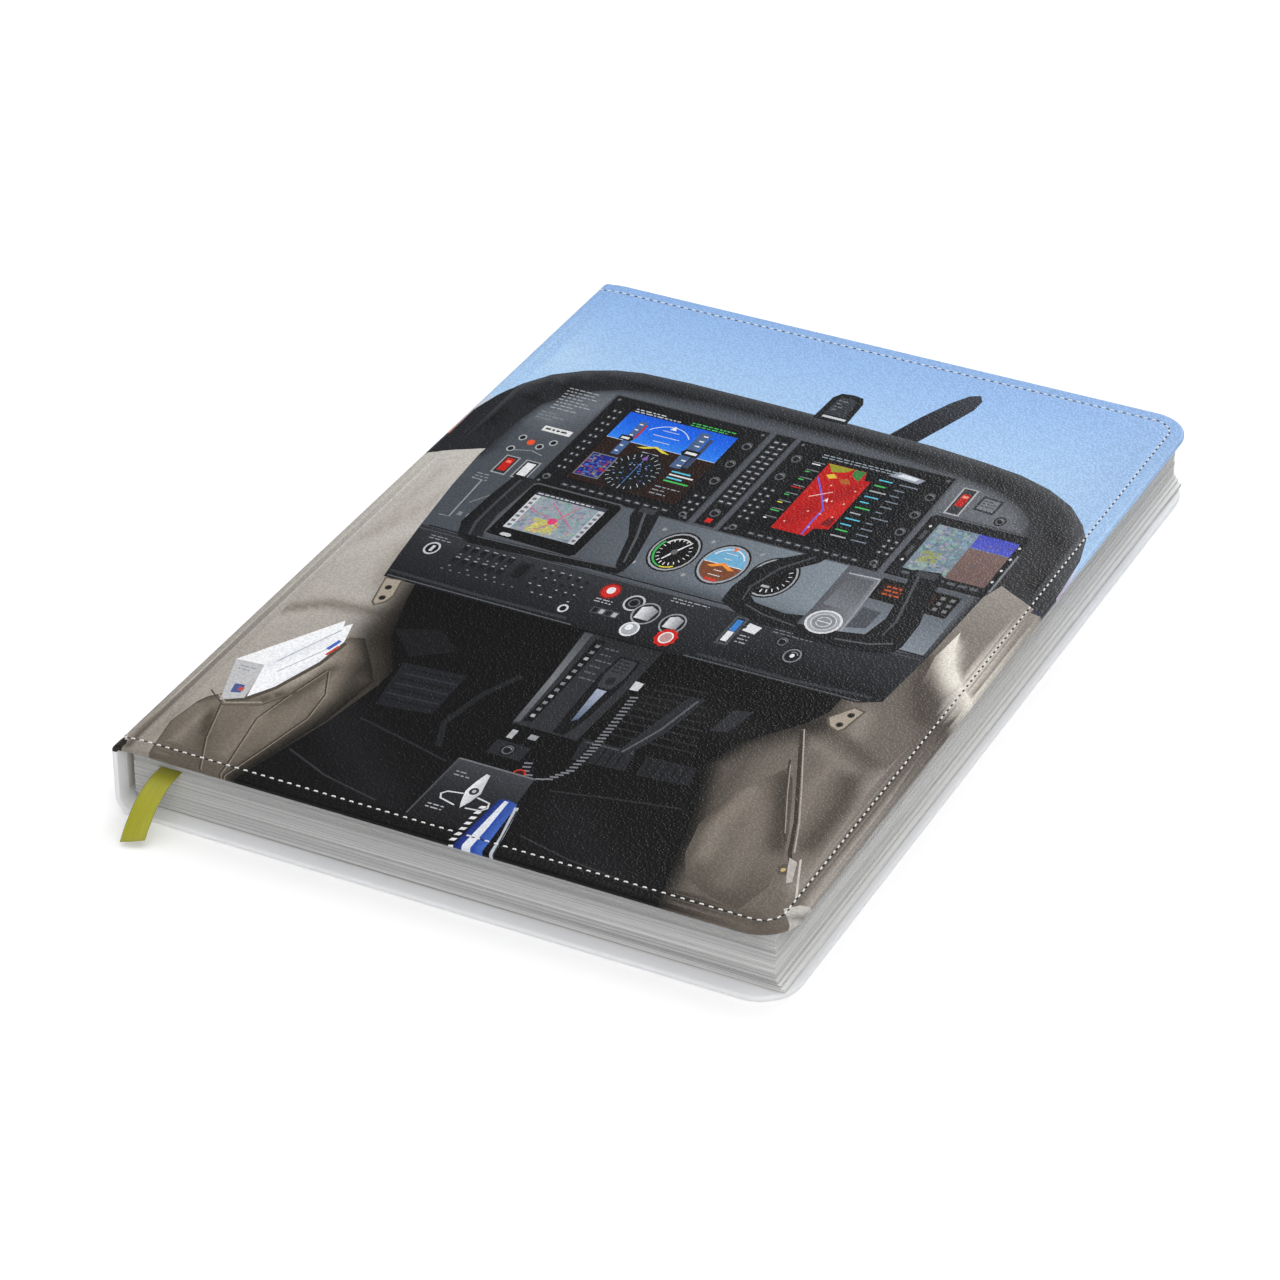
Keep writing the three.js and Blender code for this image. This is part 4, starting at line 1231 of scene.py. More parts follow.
def lower_controls():
    ring(63.5, 95, 2.2, 3.2, 0.4, (128, 30, 28), (206, 40, 34))
    ellipse(63.5, 95.3, 0.9, 1.4, WHITE_INK, 12)
    bars(62, 89.6, 66.4, 91.8, 1.0, 0.35, (186, 188, 192), 0.6)
    ring(70, 93, 2.2, 3.2, 0.4, SILVER, DARK)
    ring(70, 93, 1.2, 1.7, 0.3, GREY, CASE)
    ring(74, 90.4, 2.9, 4.4, 0.35, (150, 153, 158), (34, 35, 38))
    paint([(72.3, 88), (75.6, 88), (76, 92.4), (74, 93.6), (72.2, 92.4)],
          across(72, (236, 237, 240), 76, (128, 131, 137)))
    ring(73.6, 83.6, 2.0, 2.9, 0.4, (226, 228, 231), (168, 171, 176))
    ellipse(73.2, 84.2, 0.8, 1.2, (240, 241, 244), 10)
    ring(80.7, 89.4, 2.7, 4.1, 0.35, (150, 153, 158), (34, 35, 38))
    paint([(79.2, 87.4), (82.2, 87.4), (82.4, 91.4), (80.7, 92.4), (79.2, 91.4)],
          across(79, (230, 231, 235), 83, (120, 123, 129)))
    star = []
    for k in range(20):
        a = math.pi * k / 10
        reach = 1.0 if k % 2 else 0.86
        star.append((81.8 + 2.5 * reach * math.cos(a), 84 + 3.7 * reach * math.sin(a)))
    paint(star, (204, 34, 28))
    ring(81.8, 84, 1.5, 2.3, 0.3, (240, 241, 243), (188, 150, 148))
    rect(63, 85.8, 69.2, 88.3, (70, 72, 77))
    for k in range(4):
        rect(63.4 + k * 1.5, 86.2, 64.4 + k * 1.5, 87.9, (176, 178, 182) if k % 2 else CASE)
    bars(76.4, 96.6, 85, 99, 1.1, 0.35, (168, 171, 176), 0.6)
    # flap lever with its indicator
    rect(91.4, 86.8, 94.2, 98.2, (74, 78, 84))
    rect(91.9, 87.6, 93.6, 97.6, (24, 25, 28))
    paint([(92.1, 92.4), (93.5, 92.4), (93.5, 97), (92.1, 97)], (60, 128, 206))
    rect(92.1, 88.2, 93.5, 92.2, WHITE_INK)
    paint([(94.6, 93.6), (97.6, 93.2), (98, 96.2), (95, 96.8)], (224, 225, 228))
    rect(94, 94.4, 95, 95.4, (46, 48, 52))
    bars(95, 88, 98.4, 92.4, 1.3, 0.4, (168, 170, 176), 0.5)
    knob(108, 89.4, 1.9, 2.7, (128, 131, 137))
    ellipse(108, 89.4, 0.5, 0.8, WHITE_INK, 8)
    knob(104, 93.4, 1.1, 1.7)
    bars(100.6, 95.4, 116, 97.6, 1.1, 0.35, (120, 122, 128), 0.5)
    # key, rocker switches and breakers
    ring(21.7, 93.4, 1.7, 2.6, 0.4, SILVER, CASE)
    rect(21.4, 92.2, 22.1, 94.6, (206, 208, 212))
    bars(19, 96.6, 26, 98.6, 1.0, 0.35, (140, 142, 148), 0.5)
    for y in (96, 91):
        for k in range(6):
            x = 27.6 + k * 2.15
            rect(x, y - 1.4, x + 1.5, y + 1.4, (34, 35, 38))
            rect(x + 0.2, y - 0.2, x + 1.3, y + 1.1, (22, 23, 25))
            rect(x + 0.3, y + 1.5, x + 0.9 + rng.uniform(0, 0.5), y + 1.9, (150, 152, 158))
            if rng.random() < 0.6:
                rect(x + 0.5, y - 2.3, x + 1.0, y - 1.8, (128, 131, 137))
    rect(41.2, 90, 44.6, 97.2, (36, 37, 41))
    rect(41.8, 90.8, 44.0, 96.4, (24, 25, 28))
    for y in (95.6, 92.4, 89, 86):
        for k in range(6):
            x = 47 + k * 2.1
            ellipse(x, y, 0.62, 0.88, (40, 41, 45), 10)
            ellipse(x, y, 0.32, 0.46, (20, 21, 24), 8)
            if rng.random() < 0.7:
                rect(x - 0.4, y + 1.1, x + rng.uniform(0, 0.5), y + 1.45, (170, 172, 178))
    for k in range(9):
        ellipse(27.6 + k * 2.1, 86, 0.6, 0.84, (38, 39, 43), 10)
        rect(27.1 + k * 2.1, 87.1, 27.7 + k * 2.1, 87.45, (120, 122, 128))
    ring(57.6, 84.6, 1.1, 1.6, 0.4, (214, 216, 220), CASE)
    line([(18, 81.8), (40, 81.2), (60, 81.4)], 1.0, (54, 56, 61))
    line([(90, 81.4), (110, 81), (129, 82.4)], 1.0, (54, 56, 61))
    line([(18.4, 79.9), (62, 79.7)], 0.4, (92, 95, 100))
    line([(88, 79.7), (127.4, 80.2)], 0.4, (86, 89, 94))


def brackets():
    tan = (168, 158, 144)
    paint([(18.5, 78.8), (22.6, 79.4), (23.9, 73), (23.6, 70.2), (21.8, 67.9), (20.6, 69)], (96, 88, 79))
    paint([(18.9, 78.5), (22.2, 79), (23.4, 73), (23.1, 70.6), (21.8, 68.6), (20.9, 69.4)], tan)
    paint([(127.4, 77.9), (130.1, 77.3), (128.9, 69.3), (127.9, 67.8), (125.3, 69.2), (123.8, 72)],
          (96, 88, 79))
    paint([(127.5, 77.3), (129.6, 76.8), (128.4, 69.6), (127.7, 68.5), (125.6, 69.6), (124.3, 72)], tan)
    for x, y in ((21.1, 75.5), (21.9, 71.4), (127.9, 74.7), (127.2, 70.6)):
        ring(x, y, 0.75, 0.95, 0.22, (70, 64, 57), (26, 25, 24))


def footwell_parts():
    """Pedals, footrests and ribs, hardly lighter than the dark round them."""
    paint([(38, 51.6), (52, 53), (52.4, 37.4), (40.4, 35.6)], (32, 33, 37))
    for k in range(7):
        y = 38.4 + k * 1.95
        line([(40.2, y), (51.8, y + 0.9)], 0.5, (48, 51, 57) if k % 2 else (22, 23, 26))
    paint([(30, 62), (39, 66), (46, 60), (38, 54)], (25, 25, 28))
    paint([(83.6, 43.4), (95, 43.8), (96.2, 36.6), (84.8, 35.6)], (38, 39, 43))
    line([(84.6, 42.4), (95, 42.9)], 0.5, (74, 77, 83))
    paint([(97.8, 43.4), (108.6, 43.8), (109.8, 37.6), (98.6, 36.4)], (34, 35, 39))
    for k in range(5):
        line([(86 + k * 1.9, 36.4), (85.6 + k * 1.9, 42)], 0.45, (24, 25, 28))
        line([(99.6 + k * 1.9, 37.2), (99.2 + k * 1.9, 42.8)], 0.45, (24, 25, 28))
    for k in range(9):
        y = 47 + k * 2.6
        line([(86 + k * 0.3, y), (106 - k * 0.9, y + 1.4)], 0.55, (38, 39, 43))
    paint([(96, 66), (99.4, 66.6), (97.4, 52), (94, 42), (91.6, 41.6), (93.4, 52)], (42, 43, 47))
    line([(98.2, 65.6), (96, 53), (92.6, 42.4)], 0.5, (92, 94, 99))
    paint([(106, 66), (110, 67), (108.4, 58), (104.8, 57)], (46, 47, 51))
    line([(62, 58), (58, 48), (56, 36), (59, 28)], 1.4, (34, 35, 38))
    line([(33, 14), (44, 9), (57, 6)], 0.5, (52, 53, 57))
    line([(88, 8), (100, 5), (118, 3)], 0.5, (50, 50, 53))
    line([(86, 24), (98, 27), (112, 30)], 0.6, (42, 42, 46))
    line([(40, 30), (52, 27), (63, 24)], 0.6, (40, 41, 45))


def pedestal():
    paint([(65.8, 78.6), (83.8, 78.6), (83.5, 60), (82.7, 42), (68.2, 42), (67.3, 60)], (48, 49, 53))
    paint([(69.6, 78.6), (83.8, 78.6), (83.6, 66), (69.2, 66)],
          ramp([(66, (48, 49, 53)), (79, (36, 37, 40))]))
    paint([(66, 78.4), (67.8, 78.4), (68.8, 60), (69.4, 43), (68.2, 42.4), (67.4, 60)],
          ramp([(42, (88, 90, 95)), (60, (120, 123, 128)), (78, (76, 78, 83))]))
    paint([(69.2, 77), (71.6, 77), (71.8, 60), (71.6, 44), (69.7, 43.6), (69.9, 60)], (18, 18, 20))
    for k in range(12):
        y = 45.6 + k * 2.6
        rect(70.3, y, 71.2, y + 1.1, (126, 129, 134) if k % 3 else (176, 178, 182))
    bars(72.6, 62, 76.4, 76, 2.4, 0.5, (96, 98, 103), 0.3)
    # handset in its cradle
    paint([(76.6, 73.6), (81.4, 73.6), (82, 66), (81, 50), (79.6, 42.6), (77, 42.6), (76.4, 52),
           (76, 66)], (20, 21, 23))
    paint([(77.2, 72.8), (80.8, 72.8), (81.2, 66.4), (80.4, 61.4), (77.4, 61.4), (76.7, 66.4)],
          (58, 60, 65))
    bars(77.4, 67.4, 80.4, 72.4, 1.3, 0.45, (30, 31, 34), 0.9)
    ellipse(79, 64.3, 1.0, 1.5, (34, 35, 38), 12)
    paint([(77.8, 60.6), (80.0, 60.6), (79.5, 49), (78.5, 47.6)],
          ramp([(48, (84, 98, 124)), (61, (168, 178, 196))]))
    paint([(83.6, 66.6), (85.6, 66.4), (85.6, 63.4), (83.8, 63.2)], (206, 208, 212))
    # curly lead
    lead = [(84.6, 63), (86, 61), (86.7, 50), (87, 40), (86.5, 32), (84, 27.5), (81, 26), (78.5, 28),
            (77.5, 32)]
    line(lead, 1.7, (14, 14, 16))
    for (ax, ay), (bx, by) in zip(lead[1:], lead[2:]):
        count = max(2, int(math.hypot(bx - ax, by - ay) / 1.25))
        for k in range(count):
            x, y = ax + (bx - ax) * k / count, ay + (by - ay) * k / count
            line([(x - 0.8, y - 0.3), (x + 0.8, y + 0.3)], 0.55, (124, 126, 132))
    rect(69.5, 36.8, 70.8, 40, (176, 178, 182))
    rect(73.6, 38.2, 75.4, 40, (150, 152, 157))
    rect(68.4, 30.4, 76, 35.6, (40, 41, 45))
    knob(72, 33, 1.2, 1.7)
    ring(77.9, 26.6, 1.3, 1.6, 0.35, (196, 52, 42), (60, 20, 20))
    # fuel selector plate
    paint([(64.6, 26.4), (81.6, 26.4), (83.4, 5), (64.4, 4)],
          ramp([(5, (26, 26, 29)), (16, (40, 41, 45)), (26, (66, 68, 73))]))
    line([(64.8, 26.2), (81.4, 26.2)], 0.5, (112, 115, 120))
    line([(64.8, 26), (64.5, 5)], 0.4, (76, 78, 83))
    line([(71.4, 15.7), (68.2, 15), (67.4, 13.8), (68, 12.4), (71.6, 11.4)], 0.42, (214, 216, 220))
    line([(74.5, 15.6), (77.5, 14.9), (78, 13.2), (77.1, 11.9), (74, 11.4)], 0.42, (214, 216, 220))
    paint([(72.3, 23.6), (73.2, 23.4), (73.8, 20.2), (74.5, 17), (73.9, 13.6), (73, 11),
           (72.2, 13.2), (71.3, 16.6), (71.6, 20)], across(71, (240, 241, 243), 75, (184, 187, 192)))
    ellipse(72.9, 17.2, 0.95, 1.3, (52, 54, 58), 12)
    ellipse(72.9, 17.2, 0.4, 0.55, (190, 192, 196), 10)
    bars(66.6, 8.2, 70.6, 10.4, 1.1, 0.35, (178, 180, 185), 0.6)
    bars(66.4, 19.6, 70, 22.6, 1.2, 0.35, (160, 162, 168), 0.6)
    # checklist roll and pen beside it
    paint([(78.6, 17), (80.2, 17.6), (82.6, 17), (84.6, -9), (77.4, -9)],
          across(78, (24, 42, 116), 84, (70, 110, 196)))
    paint([(79.8, 17), (81, 17), (81.4, -9), (79.2, -9)], (226, 230, 238))
    line([(80.9, 17), (82.2, -9)], 0.45, (40, 78, 170))
    for k in range(11):
        y = 13.5 - k * 2.0
        paint([(76.5, y), (77.6, y + 0.3), (77.4, y - 0.7), (76.3, y - 1)], WHITE_INK)
    line([(83, 16), (85, 6), (87, -9)], [0.9, 0.8, 0.8], (190, 194, 202))
    line([(83.5, 15), (86.1, 1), (87.6, -9)], 0.3, (58, 62, 72))


def papers():
    """Loose sheets and a blank booklet in the left wall's pocket."""
    paint([(15.8, 26.4), (22.5, 44), (23.3, 53), (24.3, 52.4), (23.4, 43.4), (19.8, 31.4), (16.4, 25),
           (11.4, 22.4), (11.5, 23)], (84, 77, 68))
    paint([(10, 43.4), (19.5, 60.2), (20.3, 58), (21.5, 59.8), (23.3, 53), (22.5, 44), (19, 32),
           (15.8, 26.4), (13, 38.2)], soft((250, 251, 254), [
               ([(13.4, 38), (20, 52)], 1.2, (226, 229, 236), 0.6),
               ([(20, 34), (23, 46)], 1.0, (222, 226, 234), 0.6)]))
    line([(14.6, 40.4), (20.6, 56.6)], 0.3, (176, 180, 190))
    line([(16.6, 37.2), (22.4, 51)], 0.3, (186, 190, 198))
    paint([(6.7, 37.5), (10, 43.4), (14.2, 43.4), (13, 38.2)], (248, 248, 250))
    paint([(6.7, 37.5), (13, 38.2), (15.6, 25.8), (11.5, 23)], (196, 196, 199))
    bars(8.8, 34.4, 12.6, 36.6, 1.2, 0.4, (150, 154, 162), 0.7)
    paint([(11.2, 29.6), (13.4, 29.9), (13.9, 27), (11.9, 26.4)], (78, 96, 150))
    paint([(12.6, 28.8), (13.8, 29), (14, 27.8), (12.9, 27.6)], (196, 84, 70))
    line([(21.6, 49), (22.4, 53)], 0.9, (70, 110, 190))
    line([(22.4, 47), (23.2, 51)], 0.6, (206, 66, 52))
    line([(8, 25.4), (13, 21.6), (20, 25), (24.4, 33)], 0.4, (84, 77, 68))
    line([(8.2, 26.3), (13, 22.6), (19.6, 26)], 0.35, (168, 160, 149))


for draw in (outside_and_cabin, panel_and_shield, left_display, audio_column, right_display,
             side_switches, tablets, standby_dials, lower_controls, yokes, brackets, footwell_parts,
             pedestal, papers):
    draw()


# ---------- covers and spine ----------
def paint_mesh(obj, places, triangles, tops):
    attribute = obj.data.color_attributes.new("picture", "FLOAT_COLOR", "CORNER")
    values = []
    for triangle, top in zip(triangles, tops):
        for i in triangle:
            values.extend(linear(colours[top](*places[i])))
    attribute.data.foreach_set("color", values)


FRONT_END = FRONT_CORNER - FRONT_CORNER * math.pi / 2
BACK_END = BACK_CORNER - BACK_CORNER * math.pi / 2
crease_lines = [2.0, 2.5, 3.0, 3.5, 4.0, 4.35, 4.6, CREASE, 5.0, 5.25, 5.7]
front_turns = [FRONT_END + (FRONT_CORNER - FRONT_END) * k / 6 for k in range(1, 6)]
seam_loops = [outline(offset - SEAM_INSET, FRONT_END, SEAM_RADIUS + SEAM_INSET)
              for offset in (-1.1, -0.6, -0.3, 0.0, 0.3, 0.6, 1.1)]
soft_places = mesh_dots(-1, -4, 40, 134, 1.7) + mesh_dots(108, -4, 152, 134, 1.7)
soft_places += mesh_dots(-1, 136, 152, 221, 4.0) + mesh_dots(30, 0, 120, 130, 5.0)
front, places, triangles, tops = leather_sheet(
    "front_printed_leather", front_profile, PRINTED, FRONT_END, None, seam_loops,
    front_turns + crease_lines, soft_places, shapes)
paint_mesh(front, places, triangles, tops)
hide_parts("front_cover_skin")
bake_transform(front)

back_turns = [BACK_END + (BACK_CORNER - BACK_END) * k / 8 for k in range(1, 9)]
back_dots = mesh_dots(4, 0, 148, 216, 12.0)
back_sheet, *_ = leather_sheet("back_white_leather", back_profile, WHITE, BACK_END, None, (),
                               back_turns, back_dots, (), inward=True)
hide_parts("back_cover_skin")
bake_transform(back_sheet)

spine_run = TOP - FRONT_CORNER - BACK_CORNER
spine_sheet, *_ = leather_sheet("spine_white_leather", spine_profile, WHITE, 0.0, spine_run, (),
                                [spine_run * k / 4 for k in (1, 2, 3)], mesh_dots(0, 0, 10, 216, 5.0))
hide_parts("spine_skin")
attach(spine_sheet, "spine")


# ---------- stitches ----------
STITCH_LENGTH = 1.12
STITCH_WIDTH = 0.4
STITCH_HEIGHT = 0.3
STITCH_RISE = 0.05  # its middle line above the leather
STITCH_SINK = 0.26  # from there down to its ends
STITCH_SLANT = 7.0  # degrees off the seam
HOLE_LENGTH = 0.92
HOLE_WIDTH = 0.4
HOLE_LIFT = 0.012  # drawn just above the leather


def seam_path():
    """The line of stitches, from the spine along the tail, up the fore-edge and back along the head."""
    return outline(-SEAM_INSET, FRONT_END + 1.2, SEAM_RADIUS + SEAM_INSET, 10)


def walk(points, step):
    """Evenly spaced places along points, each with its direction."""
    out, wait = [], step / 2
    for (ax, ay), (bx, by) in zip(points, points[1:]):
        run = math.hypot(bx - ax, by - ay)
        if run < 1e-6:
            continue
        dx, dy = (bx - ax) / run, (by - ay) / run
        while wait < run:
            out.append((ax + dx * wait, ay + dy * wait, dx, dy))
            wait += step
        wait -= run
    return out


def stitches():
    """Each stitch a strand that rises from one needle hole and sinks into the next."""
    points, faces, flat, picks = [], [], [], []
    rings, sides = 7, 8
    for x, y, dx, dy in walk(seam_path(), STITCH_PITCH):
        slant = math.radians(STITCH_SLANT + rng.uniform(-3, 3))
        ux = dx * math.cos(slant) - dy * math.sin(slant)
        uy = dx * math.sin(slant) + dy * math.cos(slant)
        half = STITCH_LENGTH / 2 + rng.uniform(-0.05, 0.05)
        first = len(points)
        for i in range(rings):
            share = -1 + 2 * i / (rings - 1)
            swell = math.sqrt(max(0.0, 1 - share ** 4))
            rise = STITCH_RISE - STITCH_SINK * share ** 4
            for j in range(sides):
                a = 2 * math.pi * j / sides
                side = STITCH_WIDTH / 2 * (0.45 + 0.55 * swell) * math.cos(a)
                up = rise + STITCH_HEIGHT / 2 * (0.4 + 0.6 * swell) * math.sin(a)
                px = x + ux * half * share - uy * side
                py = y + uy * half * share + ux * side
                points.append(folded(px, py, front_profile, True, up - SEAM_DIP * 0.6))
                flat.append((half * share * MM, side * MM, 0.0))
        for i in range(rings - 1):
            for j in range(sides):
                a, b = first + i * sides + j, first + i * sides + (j + 1) % sides
                faces.append((a, b, b + sides, a + sides))
                picks.append(0)
        faces.append(tuple(range(first, first + sides))[::-1])
        faces.append(tuple(range(first + (rings - 1) * sides, first + rings * sides)))
        picks += [0, 0]
        # the needle hole beyond the stitch: a flat dark disc of painted shade
        first = len(points)
        for j in range(sides):
            a = 2 * math.pi * j / sides
            along = STITCH_PITCH / 2 + HOLE_LENGTH / 2 * math.cos(a)
            aside = HOLE_WIDTH / 2 * math.sin(a)
            hx = x + dx * along - dy * aside
            hy = y + dy * along + dx * aside
            lift = HOLE_LIFT - SEAM_DIP * seam_dip(hx, hy)
            points.append(folded(hx, hy, front_profile, True, lift))
            flat.append((0.0, 0.0, 0.0))
        faces.append(tuple(range(first, first + sides)))
        picks.append(1)
    return new_object("seam_stitches", points, faces, [THREAD, HOLE], flat, picks)


seam = stitches()
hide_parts("front_seam_thread")
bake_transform(seam)


# ---------- pages ----------
LEAVES = 8  # drawn leaves in a signature; each stands for a few real ones
LEAF_WAVE = 0.008  # how much a leaf waves up and down
FORE_WAVE = 0.05  # how much its fore-edge waves in and out
GUTTER_STEPS = [0.0, 0.15, 0.3, 0.6, 1.0, 1.5, 2.0, 2.6, 3.2, 3.9, 4.6, 5.4, 6.2, 7.1, 8.0, 9.2]


def book_box(node):
    """A CAD node's box in book millimetres, as two corners."""
    low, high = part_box(node)
    return [((p.x - SPINE_X) / MM, (p.y - TAIL_Y) / MM, p.z / MM) for p in (low, high)]


def slab_faces(first, wide, tall):
    """The faces of a thin sheet, the broad ones and those along its edges. Its points are numbered
    from first on: the lower side and then the upper one, by columns of tall points."""
    def at(side, i, j):
        return first + side * wide * tall + i * tall + j

    broad, edges = [], []
    for i in range(wide - 1):
        for j in range(tall - 1):
            broad.append((at(0, i, j), at(0, i, j + 1), at(0, i + 1, j + 1), at(0, i + 1, j)))
            broad.append((at(1, i, j), at(1, i + 1, j), at(1, i + 1, j + 1), at(1, i, j + 1)))
    for i in range(wide - 1):
        last = tall - 1
        edges.append((at(0, i, 0), at(0, i + 1, 0), at(1, i + 1, 0), at(1, i, 0)))
        edges.append((at(0, i + 1, last), at(0, i, last), at(1, i, last), at(1, i + 1, last)))
    for j in range(tall - 1):
        last = wide - 1
        edges.append((at(0, last, j), at(0, last, j + 1), at(1, last, j + 1), at(1, last, j)))
        edges.append((at(0, 0, j + 1), at(0, 0, j), at(1, 0, j), at(1, 0, j + 1)))
    return broad, edges


def signature(number):
    """A sewn gathering: folded leaves, each a little out of line with the others."""
    name = f"signature_{number:02d}"
    (x0, y0, z0), (x1, y1, z1) = book_box(name)
    columns = [x0 + step for step in GUTTER_STEPS]
    columns += [x0 + 12 + k * (x1 - x0 - 12) / 9 for k in range(10)]
    rows = [y0 + (y1 - y0) * k / 14 for k in range(15)]
    pitch = (z1 - z0) / LEAVES
    points, faces, flat, picks = [], [], [], []
    whole = rng.uniform(-0.13, 0.07)
    ends = rng.uniform(-0.08, 0.06), rng.uniform(-0.08, 0.06)
    for leaf in range(LEAVES):
        thin = pitch * rng.uniform(0.74, 0.92)
        bottom = z0 + leaf * pitch + (pitch - thin) / 2
        fore = whole + rng.uniform(-0.1, 0.08)
        tail = ends[0] + rng.uniform(-0.1, 0.06)
        head = ends[1] + rng.uniform(-0.06, 0.1)
        phase = rng.uniform(0, 6.3)
        first = len(points)
        for side in (0, 1):
            for i, x in enumerate(columns):
                for j, y in enumerate(rows):
                    px, py, z = x, y, bottom + side * thin
                    if i == len(columns) - 1:
                        px += fore + FORE_WAVE * math.sin(phase + y * 0.11)
                    if j == 0:
                        py -= tail
                    if j == len(rows) - 1:
                        py += head
                    if i > 0:
                        z += LEAF_WAVE * math.sin(phase + x * 0.04 + y * 0.03)
                    points.append(row(px, py, min(max(z, z0), z1)))
                    flat.append((px * MM, py * MM, z * MM))
        broad, edges = slab_faces(first, len(columns), len(rows))
        faces += broad + edges
        picks += [0] * len(broad) + [1] * len(edges)
    obj = new_object(f"leaves_{number:02d}", points, faces, [PAGE, LEAF_EDGE], flat, picks, smooth=False)
    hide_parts(name)
    if frame["bodies"].get(name) is not None:  # it turns over
        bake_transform(obj)
    else:
        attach(obj, "back_half")


for number in range(1, 17):
    signature(number)


def bent_sheet(name, node, material, columns):
    """A thin CAD sheet again, fine enough to bend at the gutter."""
    (x0, y0, z0), (x1, y1, z1) = book_box(node)
    xs = [x0] + [x for x in columns if x0 < x < x1] + [x1]
    ys = [y0 + (y1 - y0) * k / 12 for k in range(13)]
    places = [(x, y, z) for z in (z0, z1) for x in xs for y in ys]
    points = [row(*place) for place in places]
    flat = [(x * MM, y * MM, z * MM) for x, y, z in places]
    broad, edges = slab_faces(0, len(xs), len(ys))
    faces = broad + edges
    obj = new_object(name, points, faces, [material], flat, smooth=False)
    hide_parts(node)
    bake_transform(obj)
    return obj


gutter = [3.0 + step for step in GUTTER_STEPS] + [14, 20, 40, 70, 100, 130]
flyleaf = bent_sheet("front_flyleaf_sheet", "front_flyleaf", ENDPAPER_FLAT, gutter)

# the gauze above the ribbon stays on the folds, with the back half
upper_gauze = bent_sheet("upper_gauze_strip", "upper_gauze", GAUZE_FLAT, [])


# ---------- inside faces ----------
LINING_DEPTH = 0.36  # from the leather's outer face


def hinge_lining(name, profile, end, reach):
    """The leather's inner face behind a cover's corner, with the gauze that lines it."""
    columns = [end + (reach - end) * k / 16 for k in range(17)]
    rows = [2.0 + (COVER_HEIGHT - 4.0) * k / 30 for k in range(31)]
    points, flat, faces = [], [], []
    for x in columns:
        for y in rows:
            (px, pz), (ox, oz) = profile(x)
            points.append(row(px - ox * LINING_DEPTH, y, pz - oz * LINING_DEPTH))
            flat.append((x * MM, y * MM, 0.0))
    tall = len(rows)
    for i in range(len(columns) - 1):
        for j in range(tall - 1):
            corner = i * tall + j
            faces.append((corner, corner + 1, corner + tall + 1, corner + tall))
    obj = new_object(name, points, faces, [GAUZE_FLAT], flat)
    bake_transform(obj)


hinge_lining("front_hinge_lining", front_profile, FRONT_END, 6.0)
hinge_lining("back_hinge_lining", back_profile, BACK_END, 8.0)

for names, material in (
    (("back_endpaper", "front_pastedown"), ENDPAPER),
    (("back_board", "front_board"), BOARD),
    (("lower_gauze", "front_gauze_flange"), GAUZE),
    (("spine_stiffener", "spine_lining"), LINING),
):
    for name in names:
        data = nodes[name].data
        data.materials.clear()
        data.materials.append(material)


# ---------- ribbon ----------
RIBBON_WIDTH = 4.8  # the CAD strip leaves a little room round it
RIBBON_HALF_THICKNESS = 0.07
RIBBON_HALF_SELVEDGE = 0.09
SELVEDGE_START = 0.86  # share of the half width
RIBBON_CUP = 0.3  # how far the middle stands off the edges at the tip
RIBBON_CUT = 0.42  # how much further back the cut is for each millimetre across
RIBBON_TWIST = math.radians(-14)  # from the pages' tail to the tip
HANG_RUN = 17.0  # the end that is cupped and twisted
CUT_RUN = 9.0  # the end over which the cut's slant builds up
RIBBON_Z = 11.73
# The route of the ribbon marker's CAD solid: x from the spine, y from the pages' tail, and how far
# it has dropped from its page.
RIBBON_ROUTE = [
    (5.5, 211.5, 0), (6.0, 195, 0), (6.8, 170, 0), (7.6, 145, 0), (8.4, 120, 0), (9.2, 95, 0),
    (10.0, 70, 0), (10.8, 45, 0), (11.4, 25, 0), (11.7, 12, 0), (11.8, 5, 0), (11.7, 2.2, 0.12),
    (11.4, 0, 0.6), (11.0, -2.3, 1.9), (10.5, -4.5, 3.8), (10.1, -6.4, 6.2), (9.7, -8.1, 8.9),
    (9.4, -9.4, 11.3),
]


def curve_through(points, step):
    """A smooth curve through points, as places about step apart."""
    out = []
    for i in range(len(points) - 1):
        before, a, b, after = (points[max(0, min(len(points) - 1, i + k))] for k in (-1, 0, 1, 2))
        count = max(1, round((b - a).length / step))
        for k in range(count):
            t = k / count
            out.append(0.5 * (
                2 * a + (b - before) * t + (2 * before - 5 * a + 4 * b - after) * t ** 2
                + (3 * a - before - 3 * b + after) * t ** 3))
    out.append(points[-1])
    return out


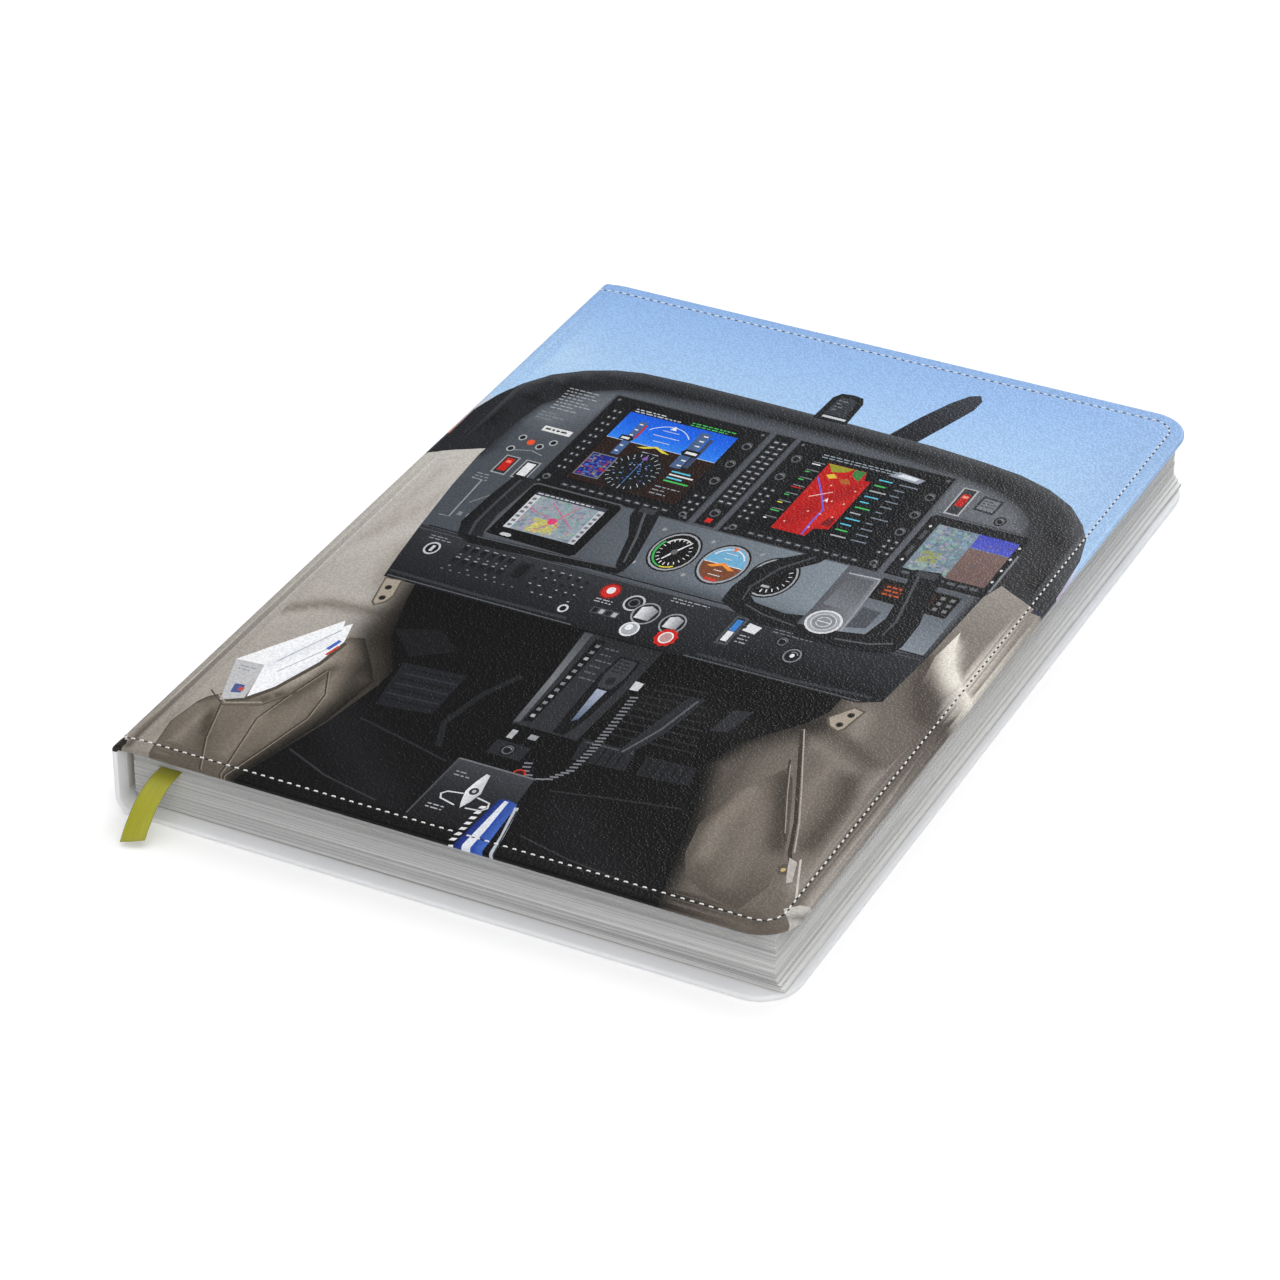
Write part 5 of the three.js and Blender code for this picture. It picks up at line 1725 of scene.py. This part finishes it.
def ribbon():
    """A satin strip: flat between the pages, a little cupped and twisted where it hangs out."""
    route = [row(x, y, RIBBON_Z - drop) for x, y, drop in RIBBON_ROUTE]
    centres = curve_through(route, 1.2 * MM)
    runs = [0.0]
    for a, b in zip(centres, centres[1:]):
        runs.append(runs[-1] + (b - a).length)
    length = runs[-1]
    across_steps = 12
    points, flat, faces, path = [], [], [], []
    for i, centre in enumerate(centres):
        ahead = centres[min(i + 1, len(centres) - 1)] - centres[max(i - 1, 0)]
        tangent = ahead.normalized()
        wide = (Vector((1, 0, 0)) - tangent * tangent.x).normalized()
        up = tangent.cross(wide)
        if up.z < 0 or (abs(up.z) < 0.2 and up.y > 0):
            up = -up
        hanging = smoothstep(length - HANG_RUN * MM, length, runs[i])
        twist = RIBBON_TWIST * hanging
        side = wide * math.cos(twist) + up * math.sin(twist)
        face = up * math.cos(twist) - wide * math.sin(twist)
        cup = RIBBON_CUP * MM * hanging
        cutting = smoothstep(length - CUT_RUN * MM, length, runs[i])
        for layer in (1, -1):
            for k in range(across_steps + 1):
                share = (-1 + 2 * k / across_steps) * layer
                offset = share * RIBBON_WIDTH / 2 * MM
                back = RIBBON_CUT * (offset + RIBBON_WIDTH / 2 * MM) * cutting
                thick = RIBBON_HALF_SELVEDGE if abs(share) > SELVEDGE_START else RIBBON_HALF_THICKNESS
                place = centre + side * offset - tangent * back
                place += face * (layer * thick * MM + cup * (1 - share * share) - cup / 2)
                points.append(place)
                flat.append((offset, runs[i] - back, 0.0))
        path.append(centre - tangent * RIBBON_CUT * RIBBON_WIDTH / 2 * MM * cutting)
    loop = 2 * (across_steps + 1)
    for i in range(len(centres) - 1):
        for k in range(loop):
            a, b = i * loop + k, i * loop + (k + 1) % loop
            faces.append((a, b, b + loop, a + loop))
    faces.append(tuple(range(loop))[::-1])
    faces.append(tuple(range(len(points) - loop, len(points))))
    return new_object("ribbon_satin_strip", points, faces, [SATIN], flat), path


ribbon_strip, ribbon_path = ribbon()
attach(ribbon_strip, "back_half")
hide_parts("ribbon_marker")


# ---------- studio ----------
FLOOR_REACH = 6.0
FLOOR_GAP = 0.0002  # under the back cover
AMBIENT = 0.15
LIGHTS = (  # name, place, width and power; each is a square aimed at the frame's origin
    ("overhead", (0.1, -0.1, 1.5), 2.0, 21.5),
    ("front_fill", (0.75, -1.2, 0.85), 1.2, 9.0),
    ("rear", (0.05, 1.35, 0.5), 0.6, 9.0),
)


def studio():
    r = FLOOR_REACH
    floor = new_object("floor", [(-r, -r, 0), (r, -r, 0), (r, r, 0), (-r, r, 0)], [(0, 1, 2, 3)],
                       [FLOOR], smooth=False)
    floor.location.z = -FLOOR_GAP
    world = bpy.data.worlds.new("studio")
    bpy.context.scene.world = world
    world.use_nodes = True
    background = world.node_tree.nodes["Background"].inputs
    background["Color"].default_value = (1, 1, 1, 1)
    background["Strength"].default_value = AMBIENT
    for name, place, size, power in LIGHTS:
        light = bpy.data.objects.new(name, bpy.data.lights.new(name, "AREA"))
        bpy.context.collection.objects.link(light)
        light.data.size = size
        light.data.energy = power
        light.location = place
        light.rotation_mode = "QUATERNION"
        light.rotation_quaternion = (-Vector(place)).to_track_quat("-Z", "Y")
    bpy.context.scene.view_settings.view_transform = "Standard"


studio()
